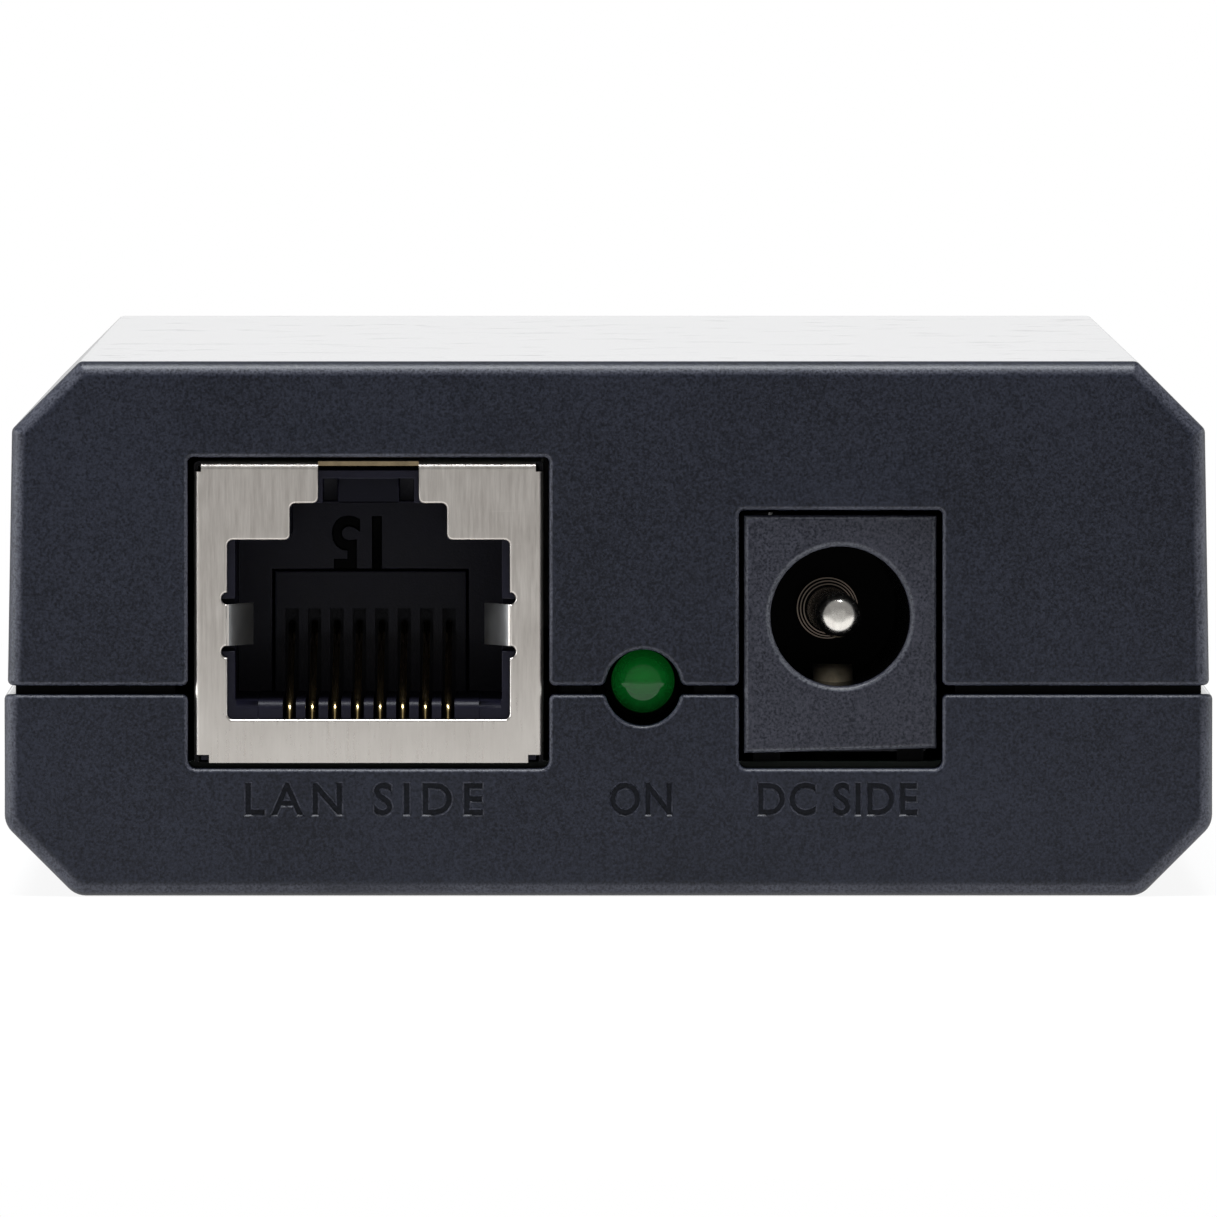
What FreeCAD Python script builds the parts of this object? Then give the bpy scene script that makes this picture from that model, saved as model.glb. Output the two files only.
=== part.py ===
import FreeCAD, Part

import math
import os
import re

import Sketcher

# A splitter that takes power off a network cable: a two-part moulded case around one circuit
# board, with a data jack, a lamp and a power jack in its front end and a network jack in its
# rear end. The front end faces -Y, the board lies flat, and the case stands on z = 0 with the
# origin under its middle.

SIZES = {
    # the room that the case leaves around what it holds, which gives its size
    "left_margin": 8.51,
    "data_lamp_gap": 4.48,
    "lamp_power_gap": 4.53,
    "right_margin": 12.36,
    "middle_length": 44.2,
    "board_lift": 2.6,
    "roof_room": 2.69,
    # the two shells
    "upper_inset": 0.15,
    "seam_height": 9.27,
    "seam_gap": 0.38,
    "side_wall": 1.8,
    "end_wall": 1.8,
    "floor_wall": 1.8,
    "roof_wall": 1.8,
    "lower_chamfer": 3.2,
    "upper_chamfer": 3.05,
    "upper_draft": 0.2,
    "end_round": 0.7,
    "rim_chamfer": 0.14,
    "seam_corner_chamfer": 0.26,
    "tongue_thickness": 0.85,
    "tongue_rise": 1.5,
    "tongue_clearance": 0.12,
    "tongue_end_gap": 0.6,
    "cut_margin": 0.5,
    # the screws that close the case, and the bosses around them
    "screw_side_gap": 0.6,
    "screw_end_inset": 6.9,
    "screw_radius": 1.05,
    "screw_length": 10.0,
    "screw_head_radius": 2.0,
    "screw_head_height": 1.5,
    "screw_seat_height": 2.0,
    "screw_clearance": 0.25,
    "pilot_clearance": 0.03,
    "pilot_end_room": 1.0,
    "foot_boss_radius": 3.1,
    "roof_boss_radius": 2.2,
    "roof_boss_play": 0.1,
    "boss_rib_thickness": 1.0,
    "boss_rib_drop": 9.0,
    "post_width": 4.0,
    "ledge_length": 5.0,
    "ledge_width": 1.6,
    "ledge_spread": 11.0,
    # the circuit board
    "board_thickness": 1.6,
    "board_clearance": 0.4,
    "pin_tail": 1.4,
    "pin_hole_clearance": 0.15,
    # the cut-outs around the two network jacks
    "face_inset": 0.1,
    "sill_drop": 0.25,
    "jack_side_room": 0.26,
    "jack_top_room": 0.19,
    # the folded shield of a network jack
    "shield_width": 15.66,
    "shield_height": 13.51,
    "shield_depth": 18.2,
    "sheet_thickness": 0.2,
    "fold_round": 0.33,
    "top_notch_width": 0.33,
    "top_notch_height": 0.45,
    "foot_notch_width": 0.68,
    "foot_notch_height": 0.36,
    "mouth_width": 12.66,
    "mouth_floor": 1.95,
    "mouth_roof": 10.0,
    "step_width": 7.04,
    "step_roof": 11.64,
    "latch_width": 4.52,
    "spring_floor": 5.25,
    "spring_roof": 7.1,
    "spring_reach": 1.05,
    "spring_depth": 2.0,
    "spring_relief": 0.5,
    "spring_relief_depth": 0.27,
    "ground_pin_place": 12.5,
    "ground_pin_width": 1.5,
    # its moulded housing
    "housing_clearance": 0.1,
    "cavity_width": 11.96,
    "cavity_floor": 2.8,
    "cavity_depth": 9.0,
    "nook_width": 8.9,
    "nook_roof": 8.35,
    "key_pocket_width": 0.68,
    "key_pocket_floor": 11.7,
    "key_pocket_height": 1.05,
    "key_pocket_spread": 3.42,
    "key_pocket_depth": 1.6,
    "spring_pocket_room": 0.25,
    # the comb that carries its eight contacts
    "comb_clearance": 0.1,
    "comb_width": 9.7,
    "comb_front": 0.75,
    "comb_back": 16.2,
    "comb_lip_chamfer": 0.4,
    "riser_setback": 0.3,
    "slot_width": 0.6,
    "slot_floor": 0.9,
    "slot_roof": 6.55,
    "slot_depth": 1.2,
    "contact_pitch": 1.016,
    "contact_width": 0.34,
    "contact_thickness": 0.3,
    "contact_lift": 1.0,
    "bend_radius": 0.9,
    "bend_setback": 1.15,
    "contact_end_height": 6.0,
    "tail_place": 12.2,
    "tail_stagger": 2.3,
    # the power jack
    "power_jack_yaw": 2.8,
    "power_jack_recess": 0.3,
    "power_jack_width": 8.66,
    "power_jack_height": 10.69,
    "power_jack_foot": 0.42,
    "power_jack_side_room": 0.22,
    "power_jack_top_room": 0.22,
    "flange_depth": 3.4,
    "power_jack_depth": 13.8,
    "barrel_wall_step": 0.4,
    "barrel_axis_height": 6.55,
    "barrel_radius": 3.13,
    "barrel_depth": 10.2,
    "barrel_rim_chamfer": 0.3,
    "front_edge_round": 0.3,
    "stand_width": 1.2,
    "stand_length": 1.6,
    "stand_side_inset": 0.7,
    "stand_front_place": 2.4,
    "stand_rear_inset": 2.0,
    "centre_pin_radius": 1.0,
    "centre_pin_setback": 0.9,
    "centre_pin_tip_radius": 0.5,
    "collar_radius": 1.33,
    "collar_depth": 0.7,
    "ring_radius": 1.17,
    "ring_depth": 0.45,
    "shank_radius": 0.8,
    "shank_clearance": 0.05,
    "shank_end": 0.3,
    "terminal_thickness": 0.3,
    "terminal_width": 2.4,
    "tail_width": 1.4,
    "terminal_shoulder": 1.0,
    "terminal_rise": 1.6,
    "spring_strip_width": 1.8,
    "spring_strip_clearance": 0.2,
    "spring_strip_start": 4.2,
    "spring_strip_end": 12.2,
    "spring_strip_height": 2.0,
    "spring_bump_height": 3.7,
    "spring_ramp": 1.7,
    "spring_crest": 1.0,
    "side_strip_place": 6.0,
    "side_strip_length": 2.0,
    # the lamp
    "lamp_rise": 3.6,
    "lamp_radius": 1.42,
    "lamp_room": 0.28,
    "lamp_hole_drop": 0.23,
    "lamp_length": 5.3,
    "lamp_flange_radius": 1.75,
    "lamp_flange_depth": 1.0,
    "lamp_setback": 0.15,
    "lead_pitch": 2.54,
    "lead_width": 0.5,
    "lead_run": 1.6,
    "lead_clearance": 0.12,
    "holder_width": 4.2,
    "holder_depth": 3.0,
    "holder_roof_room": 1.5,
    # the network transformer's flat leads, and its distance from the data jack
    "lan_transformer_gap": 2.0,
    "lan_lead_pitch": 1.27,
    "lan_lead_width": 0.5,
    "lan_lead_reach": 1.2,
    "lan_lead_thickness": 0.3,
    # the power transformer: a core of two halves, a bobbin on its middle leg, and the winding
    "transformer_across": 7.8,
    "transformer_along": 2.6,
    "core_width": 16.0,
    "core_length": 13.0,
    "core_thickness": 4.8,
    "core_leg": 4.4,
    "core_rim": 2.2,
    "core_lift": 3.6,
    "bobbin_wall": 0.7,
    "bobbin_clearance": 0.1,
    "winding_setback": 0.4,
    "bobbin_pin_pitch": 2.5,
    "bobbin_pin_width": 0.7,
    "bobbin_pin_reach": 1.4,
    "bobbin_pin_thickness": 0.5,
    # the choke in the power input: a flat ring core with a winding on each long side
    "choke_across": -5.6,
    "choke_gap": 1.0,
    "choke_width": 10.0,
    "choke_length": 8.4,
    "choke_rim": 2.2,
    "choke_thickness": 2.8,
    "choke_winding_length": 4.4,
    "choke_winding_wall": 0.7,
    # the upright capacitor, beside the rear jack
    "input_capacitor_side_gap": 2.35,
    "input_capacitor_setback": 2.0,
    "input_capacitor_radius": 5.0,
    "input_capacitor_height": 11.5,
    "capacitor_base_margin": 0.15,
    "capacitor_base_height": 1.0,
    # the rows of small parts
    "rectifier_side_gap": 1.8,
    "rectifier_setback": 2.5,
    "rectifier_spacing": 7.4,
    "rectifier_width": 5.6,
    "rectifier_depth": 5.0,
    "rectifier_height": 2.5,
    "resistor_across": 3.8,
    "resistor_along": 11.2,
    "resistor_spacing": 2.2,
    "resistor_width": 0.85,
    "resistor_depth": 1.6,
    "resistor_height": 0.5,
    "chip_capacitor_across": -1.7,
    "chip_capacitor_along": -4.4,
    "chip_capacitor_spacing": 2.6,
    "chip_capacitor_width": 1.6,
    "chip_capacitor_depth": 0.85,
    "chip_capacitor_height": 0.85,
    # where the single packages stand
    "output_inductor_side_gap": 0.6,
    "output_inductor_end_gap": 1.4,
    "output_capacitor_gap": 2.0,
    "isolation_capacitor_across": -1.6,
    "isolation_capacitor_along": -10.6,
    "optocoupler_across": 10.2,
    "optocoupler_along": -9.4,
    "wall_row_gap": 1.2,
    "output_diode_along": -11.2,
    "power_switch_along": -3.6,
    "pulse_controller_along": 4.4,
    "pd_controller_across": -6.0,
    "pd_controller_along": 1.6,
    "surge_suppressor_across": 3.4,
    "surge_suppressor_gap": 1.0,
}

# the single packages on the board: width, depth, height
PACKAGES = {
    "lan_transformer": (12.7, 7.1, 5.8),
    "output_inductor": (6.0, 6.0, 4.2),
    "isolation_capacitor": (4.4, 5.6, 2.6),
    "output_capacitor": (4.3, 7.3, 2.9),
    "optocoupler": (4.6, 3.8, 2.2),
    "output_diode": (4.4, 3.6, 2.3),
    "power_switch": (6.4, 6.2, 2.3),
    "pulse_controller": (4.9, 3.9, 1.6),
    "pd_controller": (5.0, 5.0, 1.2),
    "surge_suppressor": (4.4, 3.6, 2.3),
}

# the circle on which each outline is drawn before its formulas pull it into place
START_RADIUS = 10

doc = FreeCAD.newDocument("poe_splitter")
sheet = doc.addObject("Spreadsheet::Sheet", "sizes")
nodes = []


def fill_sheet():
    """Write every driving size to its own named cell."""
    cells = dict(SIZES)
    for package, numbers in PACKAGES.items():
        for word, number in zip(("width", "depth", "height"), numbers):
            cells[f"{package}_{word}"] = number
    for row, (alias, number) in enumerate(cells.items(), 1):
        sheet.set(f"A{row}", alias)
        sheet.set(f"B{row}", str(number))
        sheet.setAlias(f"B{row}", alias)
    doc.recompute()


def bound(formula):
    """The formula with each size's name pointed at its cell."""
    return re.sub(r"\b[a-z]+(?:_[a-z]+)+\b", lambda word: "sizes." + word.group(), formula)


def amount(formula):
    """What a formula comes to with the sizes as they are."""
    return float(sheet.evalExpression(bound(formula)))


def new_body(label, across="0", along="0", up="0", turn="0"):
    """An empty body whose own origin stands at the given place, turned about the vertical."""
    body = doc.addObject("PartDesign::Body", label)
    body.Label = label
    body.Placement = FreeCAD.Placement(FreeCAD.Vector(), FreeCAD.Rotation(FreeCAD.Vector(0, 0, 1), 1))
    for axis, formula in zip("xyz", (across, along, up)):
        body.setExpression(f"Placement.Base.{axis}", bound(formula))
    body.setExpression("Placement.Rotation.Angle", bound(turn))
    nodes.append(body)
    return body


def origin_item(body, role):
    return next(item for item in body.Origin.OriginFeatures if item.Role == role)


def sketch_on(body, plane, offset="0"):
    """A sketch on one of the body's own planes, moved along that plane's normal."""
    sketch = body.newObject("Sketcher::SketchObject", body.Label + "_sketch")
    sketch.AttachmentSupport = [(origin_item(body, plane), "")]
    sketch.MapMode = "FlatFace"
    sketch.setExpression("AttachmentOffset.Base.z", bound(offset))
    return sketch


def hold(sketch, geometry, point, across, up):
    """Tie one point of a sketch to its two formulas, one of which may be left open."""
    now = sketch.getPoint(geometry, point)
    for kind, formula, start in (("DistanceX", across, now.x), ("DistanceY", up, now.y)):
        if formula is not None:
            number = sketch.addConstraint(Sketcher.Constraint(kind, -1, 1, geometry, point, start))
            sketch.setExpression(f"Constraints[{number}]", bound(formula))


def outline(sketch, corners, arcs=None):
    """A closed loop through the corners, drawn on a circle first and then held to its formulas.

    arcs names the round stretches: the number of the corner where each starts, with the formulas
    for its centre. A hollow one also says so, because it is drawn from its far corner."""
    arcs = arcs or {}
    count = len(corners)
    first = sketch.GeometryCount
    turn = 2 * math.pi / count
    circle = Part.Circle(FreeCAD.Vector(), FreeCAD.Vector(0, 0, 1), START_RADIUS)
    for i in range(count):
        if i not in arcs:
            sketch.addGeometry(Part.LineSegment(circle.value(i * turn), circle.value((i + 1) * turn)))
        elif "hollow" in arcs[i]:
            sketch.addGeometry(Part.ArcOfCircle(circle, (i + 1) * turn, i * turn + 2 * math.pi))
        else:
            sketch.addGeometry(Part.ArcOfCircle(circle, i * turn, (i + 1) * turn))
    ends = [(2, 1) if "hollow" in arcs.get(i, ()) else (1, 2) for i in range(count)]
    for i in range(count):
        after = (i + 1) % count
        sketch.addConstraint(Sketcher.Constraint("Coincident", first + i, ends[i][1],
                                                 first + after, ends[after][0]))
    for i in range(count):
        hold(sketch, first + i, ends[i][0], *corners[i])
        if i in arcs:
            hold(sketch, first + i, 3, *arcs[i][:2])


def rectangle(sketch, left, right, low, high):
    outline(sketch, [(left, low), (right, low), (right, high), (left, high)])


def centred(sketch, across, up, width, height):
    rectangle(sketch, f"{across} - ({width}) / 2", f"{across} + ({width}) / 2",
              f"{up} - ({height}) / 2", f"{up} + ({height}) / 2")


def disc(sketch, across, up, radius):
    geometry = sketch.addGeometry(Part.Circle(FreeCAD.Vector(), FreeCAD.Vector(0, 0, 1), 1))
    hold(sketch, geometry, 3, across, up)
    number = sketch.addConstraint(Sketcher.Constraint("Radius", geometry, 1.0))
    sketch.setExpression(f"Constraints[{number}]", bound(radius))


def extrude(kind, body, sketch, length, side):
    feature = body.newObject(f"PartDesign::{kind}", f"{body.Label}_{kind.lower()}")
    feature.Profile = sketch
    feature.setExpression("Length", bound(length))
    if side == "both":
        feature.SideType = "Symmetric"
    feature.Reversed = side == "back"
    return feature


def pad(body, sketch, length, side="front"):
    return extrude("Pad", body, sketch, length, side)


def pocket(body, sketch, length, side="front"):
    return extrude("Pocket", body, sketch, length, side)


def revolve(body, sketch, axis):
    feature = body.newObject("PartDesign::Revolution", body.Label + "_revolution")
    feature.Profile = sketch
    feature.ReferenceAxis = (sketch, [axis])
    feature.Angle = 360
    return feature


def dress(kind, quantity, body, amount, chosen):
    """Round or bevel those edges of the body's last feature that the test chooses."""
    doc.recompute()
    base = body.Tip
    edges = [f"Edge{i}" for i, edge in enumerate(base.Shape.Edges, 1) if chosen(edge)]
    feature = body.newObject(f"PartDesign::{kind}", f"{body.Label}_{kind.lower()}")
    feature.Base = (base, edges)
    feature.setExpression(quantity, bound(amount))
    return feature


def fillet(body, radius, chosen):
    return dress("Fillet", "Radius", body, radius, chosen)


def chamfer(body, width, chosen):
    return dress("Chamfer", "Size", body, width, chosen)


def repeat(body, features, role, spacing, count):
    """Copies of the features, or of all that the body holds so far, in a straight row."""
    doc.recompute()
    feature = body.newObject("PartDesign::LinearPattern", body.Label + "_row")
    if features:
        feature.Originals = features
    else:
        feature.TransformMode = "Whole shape"
    feature.Direction = (origin_item(body, role), [""])
    feature.Mode = "Spacing"
    feature.setExpression("Offset", bound(spacing))
    feature.Occurrences = count
    body.Tip = feature
    return feature


def near(a, b):
    return abs(a - b) < 1e-4


def flat_at(edge, axis, level):
    """Whether the whole edge lies in the plane where that coordinate has that value."""
    box = edge.BoundBox
    return near(getattr(box, axis + "Min"), level) and near(getattr(box, axis + "Max"), level)


def along(edge, axis):
    box = edge.BoundBox
    return all(flat_at(edge, other, getattr(box, other + "Min")) for other in "XYZ" if other != axis)


# what the margins add up to: the case's outer size, and where the pieces stand in it
CASE_WIDTH = ("(left_margin + shield_width + data_lamp_gap + lamp_power_gap + power_jack_width"
              " + right_margin)")
HALF_WIDTH = f"({CASE_WIDTH} / 2)"
UPPER_HALF = f"({HALF_WIDTH} - upper_inset)"
HALF_MIDDLE = "(middle_length / 2)"
JACK_MOUTH = f"({HALF_MIDDLE} + shield_depth)"
HALF_LENGTH = f"({JACK_MOUTH} + face_inset)"
BOARD_FOOT = "(floor_wall + board_lift)"
BOARD_TOP = f"({BOARD_FOOT} + board_thickness)"
CEILING = f"({BOARD_TOP} + shield_height + roof_room)"
CASE_HEIGHT = f"({CEILING} + roof_wall)"
INNER_WIDTH = f"({CASE_WIDTH} - 2 * side_wall)"
INNER_LENGTH = f"(2 * {HALF_LENGTH} - 2 * end_wall)"
LOWER_EDGE = "(seam_height - seam_gap / 2)"
UPPER_EDGE = "(seam_height + seam_gap / 2)"
DATA_ACROSS = f"(left_margin + shield_width / 2 - {HALF_WIDTH})"
LAMP_ACROSS = f"(left_margin + shield_width + data_lamp_gap - {HALF_WIDTH})"
POWER_ACROSS = f"({HALF_WIDTH} - right_margin - power_jack_width / 2)"
SCREW_ACROSS = f"({HALF_WIDTH} - left_margin + screw_side_gap + roof_boss_radius)"
SCREW_ALONG = f"({HALF_LENGTH} - screw_end_inset)"
LAMP_UP = f"({BOARD_TOP} + lamp_rise)"

# the openings in the end walls
SILL = f"({BOARD_TOP} - sill_drop)"
JACK_OPENING_WIDTH = "(shield_width + 2 * jack_side_room)"
JACK_OPENING_TOP = f"({BOARD_TOP} + shield_height + jack_top_room)"
POWER_OPENING_WIDTH = "(power_jack_width + 2 * power_jack_side_room)"
POWER_OPENING_TOP = f"({BOARD_TOP} + power_jack_foot + power_jack_height + power_jack_top_room)"
LAMP_HOLE_UP = f"({LAMP_UP} - lamp_hole_drop)"
LAMP_HOLE_RADIUS = "(lamp_radius + lamp_room)"
THROUGH_WALL = "(end_wall + cut_margin)"

# how much nearer a 45 degree corner is to the middle on the wall's inner side
OFFSET_CORNER = "* (2 - sqrt(2))"


def end_openings(body, above, drop, lift):
    """Cut the jack and lamp openings through both end walls, from one level to past the seam.

    above tells which shell it is, and drop and lift are where the jack openings end."""
    front = sketch_on(body, "XZ_Plane", HALF_LENGTH)
    tops = (JACK_OPENING_TOP, POWER_OPENING_TOP) if above else (lift, lift)
    foot = drop if above else SILL
    for across, width, top in ((DATA_ACROSS, JACK_OPENING_WIDTH, tops[0]),
                               (POWER_ACROSS, POWER_OPENING_WIDTH, tops[1])):
        rectangle(front, f"{across} - {width} / 2", f"{across} + {width} / 2", foot, top)
    pocket(body, front, THROUGH_WALL)
    lamp = sketch_on(body, "XZ_Plane", HALF_LENGTH)
    disc(lamp, LAMP_ACROSS, LAMP_HOLE_UP, LAMP_HOLE_RADIUS)
    pocket(body, lamp, THROUGH_WALL)
    rear = sketch_on(body, "XZ_Plane", "-" + HALF_LENGTH)
    rectangle(rear, f"-{JACK_OPENING_WIDTH} / 2", f"{JACK_OPENING_WIDTH} / 2", foot, tops[0])
    pocket(body, rear, THROUGH_WALL, "back")


def ease_openings(body, seam_level):
    """Break the edges of the openings and of the seam, as a moulding has them."""
    half = amount(HALF_LENGTH)
    reach = amount("end_round + rim_chamfer / 2")
    upper_side = amount(UPPER_HALF)
    end_side = amount(f"{HALF_WIDTH} - 2 * side_wall")
    flat_side = amount(f"{HALF_WIDTH} - lower_chamfer")
    top = amount(CASE_HEIGHT)

    def seam_corner(edge):
        return along(edge, "Y") and flat_at(edge, "Z", seam_level) and abs(edge.BoundBox.XMin) < end_side

    def rim(edge):
        middle = edge.valueAt((edge.FirstParameter + edge.LastParameter) / 2)
        outermost = abs(middle.x) > upper_side - reach or abs(middle.y) > half - reach
        on_face = flat_at(edge, "Y", -half) or flat_at(edge, "Y", half)
        inside = abs(middle.x) < flat_side - reach and reach < middle.z < top - reach
        return (flat_at(edge, "Z", seam_level) and outermost) or (on_face and inside)

    chamfer(body, "seam_corner_chamfer", seam_corner)
    chamfer(body, "rim_chamfer", rim)


SCREW_PLACES = [(f"-{SCREW_ACROSS}", f"-{SCREW_ALONG}"), (SCREW_ACROSS, SCREW_ALONG)]
POST_PLACES = [(SCREW_ACROSS, f"-{SCREW_ALONG}"), (f"-{SCREW_ACROSS}", SCREW_ALONG)]


def discs_at_screws(body, level, radius):
    sketch = sketch_on(body, "XY_Plane", level)
    for across, along_case in SCREW_PLACES:
        disc(sketch, across, along_case, radius)
    return sketch


def posts_at_corners(body, level):
    sketch = sketch_on(body, "XY_Plane", level)
    for across, along_case in POST_PLACES:
        centred(sketch, across, along_case, "post_width", "post_width")
    return sketch


def round_ends(body, chosen):
    """Round the outline of both end faces, apart from the edge that the seam cuts."""
    end = amount(HALF_LENGTH)
    fillet(body, "end_round",
           lambda edge: (flat_at(edge, "Y", end) or flat_at(edge, "Y", -end)) and chosen(edge.BoundBox))


def make_lower_shell():
    body = new_body("lower_shell")
    half, bevel = HALF_WIDTH, "lower_chamfer"
    outer = sketch_on(body, "XZ_Plane")
    outline(outer, [(f"-{half}", LOWER_EDGE), (f"-{half}", bevel), (f"{bevel} - {half}", "0"),
                    (f"{half} - {bevel}", "0"), (half, bevel), (half, LOWER_EDGE)])
    pad(body, outer, f"2 * {HALF_LENGTH}", "both")
    seam_level = amount(LOWER_EDGE)
    round_ends(body, lambda box: box.ZMin < seam_level - amount("seam_gap"))

    inner = sketch_on(body, "XZ_Plane")
    side = f"({HALF_WIDTH} - side_wall)"
    knee = f"(lower_chamfer - side_wall {OFFSET_CORNER})"
    outline(inner, [(f"-{side}", UPPER_EDGE), (f"-{side}", f"floor_wall + {knee}"),
                    (f"{knee} - {side}", "floor_wall"), (f"{side} - {knee}", "floor_wall"),
                    (side, f"floor_wall + {knee}"), (side, UPPER_EDGE)])
    pocket(body, inner, INNER_LENGTH, "both")
    end_openings(body, False, None, UPPER_EDGE)
    ease_openings(body, seam_level)

    ring = sketch_on(body, "XY_Plane", LOWER_EDGE)
    centred(ring, "0", "0", f"{INNER_WIDTH} + 2 * tongue_thickness",
            f"{INNER_LENGTH} + 2 * tongue_thickness")
    centred(ring, "0", "0", INNER_WIDTH, INNER_LENGTH)
    pad(body, ring, "tongue_rise")
    gaps = sketch_on(body, "XY_Plane", LOWER_EDGE)
    for across, along_case, width in (
            (DATA_ACROSS, f"-{HALF_LENGTH}", JACK_OPENING_WIDTH),
            (POWER_ACROSS, f"-{HALF_LENGTH}", POWER_OPENING_WIDTH),
            (LAMP_ACROSS, f"-{HALF_LENGTH}", f"2 * {LAMP_HOLE_RADIUS}"),
            ("0", HALF_LENGTH, JACK_OPENING_WIDTH)):
        centred(gaps, across, along_case, f"{width} + 2 * tongue_end_gap", f"2 * {THROUGH_WALL}")
    pocket(body, gaps, "tongue_rise", "back")

    pad(body, discs_at_screws(body, "floor_wall / 2", "foot_boss_radius"), f"{BOARD_FOOT} - floor_wall / 2")
    pad(body, posts_at_corners(body, "floor_wall / 2"), f"{BOARD_FOOT} - floor_wall / 2")
    root = "side_wall / 2"
    for end_sign in ("-", ""):
        ledges = sketch_on(body, "XZ_Plane", f"{end_sign}ledge_spread")
        for sign in ("-", ""):
            outline(ledges, [(f"{sign}({side} + {root})", BOARD_FOOT),
                             (f"{sign}({side} - ledge_width)", BOARD_FOOT),
                             (f"{sign}({side} - ledge_width)", f"floor_wall + {knee} - ledge_width - {root}"),
                             (f"{sign}({side} + {root})", f"floor_wall + {knee}")])
        pad(body, ledges, "ledge_length", "both")
    head = discs_at_screws(body, "0", "screw_head_radius + screw_clearance")
    pocket(body, head, "screw_seat_height", "back")
    pocket(body, discs_at_screws(body, "0", "screw_radius + screw_clearance"), BOARD_TOP, "back")


def make_upper_shell():
    body = new_body("upper_shell")
    half = UPPER_HALF
    lean = f"({half} - upper_draft)"
    shoulder = f"({CASE_HEIGHT} - upper_chamfer)"
    outer = sketch_on(body, "XZ_Plane")
    outline(outer, [(f"-{half}", UPPER_EDGE), (f"-{lean}", shoulder),
                    (f"upper_chamfer - {lean}", CASE_HEIGHT), (f"{lean} - upper_chamfer", CASE_HEIGHT),
                    (lean, shoulder), (half, UPPER_EDGE)])
    pad(body, outer, f"2 * {HALF_LENGTH}", "both")
    seam_level = amount(UPPER_EDGE)
    round_ends(body, lambda box: box.ZMax > seam_level + amount("seam_gap"))

    inner = sketch_on(body, "XZ_Plane")
    side = f"({half} - side_wall)"
    inner_lean = f"({lean} - side_wall)"
    knee = f"(upper_chamfer - side_wall {OFFSET_CORNER})"
    outline(inner, [(f"-{side}", LOWER_EDGE), (f"-{inner_lean}", f"{CEILING} - {knee}"),
                    (f"{knee} - {inner_lean}", CEILING), (f"{inner_lean} - {knee}", CEILING),
                    (inner_lean, f"{CEILING} - {knee}"), (side, LOWER_EDGE)])
    pocket(body, inner, INNER_LENGTH, "both")
    end_openings(body, True, LOWER_EDGE, None)
    ease_openings(body, seam_level)

    rebate = sketch_on(body, "XY_Plane", LOWER_EDGE)
    room = "2 * (tongue_thickness + tongue_clearance)"
    centred(rebate, "0", "0", f"{INNER_WIDTH} + {room}", f"{INNER_LENGTH} + {room}")
    pocket(body, rebate, "tongue_rise + tongue_clearance", "back")

    boss_foot = f"({BOARD_TOP} + roof_boss_play)"
    to_roof = f"{CEILING} + roof_wall / 2 - {boss_foot}"
    pad(body, discs_at_screws(body, boss_foot, "roof_boss_radius"), to_roof)
    pad(body, posts_at_corners(body, boss_foot), to_roof)
    ribs = sketch_on(body, "XY_Plane", f"{CEILING} - boss_rib_drop")
    for across, along_case in SCREW_PLACES:
        sign = "-" if across.startswith("-") else ""
        start, stop = across, f"{sign}({inner_lean} + side_wall / 2)"
        if sign:
            start, stop = stop, start
        rectangle(ribs, start, stop, f"{along_case} - boss_rib_thickness / 2",
                  f"{along_case} + boss_rib_thickness / 2")
    pad(body, ribs, "boss_rib_drop - upper_chamfer / 2")
    pocket(body, discs_at_screws(body, boss_foot, "screw_radius + pilot_clearance"),
           f"screw_seat_height + screw_length + pilot_end_room - {boss_foot}", "back")


def make_case_screws():
    body = new_body("case_screws")
    head = discs_at_screws(body, "screw_seat_height - screw_head_height", "screw_head_radius")
    pad(body, head, "screw_head_height")
    pad(body, discs_at_screws(body, "screw_seat_height", "screw_radius"), "screw_length")


JACKS = {
    "data_out": (DATA_ACROSS, "-", "0"),
    "poe_in": ("0", "", "180"),
}


def jack_body(name, piece):
    """A body in a network jack's own frame: its mouth faces -Y at y = 0, and it stands on z = 0."""
    across, sign, turn = JACKS[name]
    return new_body(f"{name}_jack_{piece}", across, f"{sign}{JACK_MOUTH}", BOARD_TOP, turn)


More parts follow.
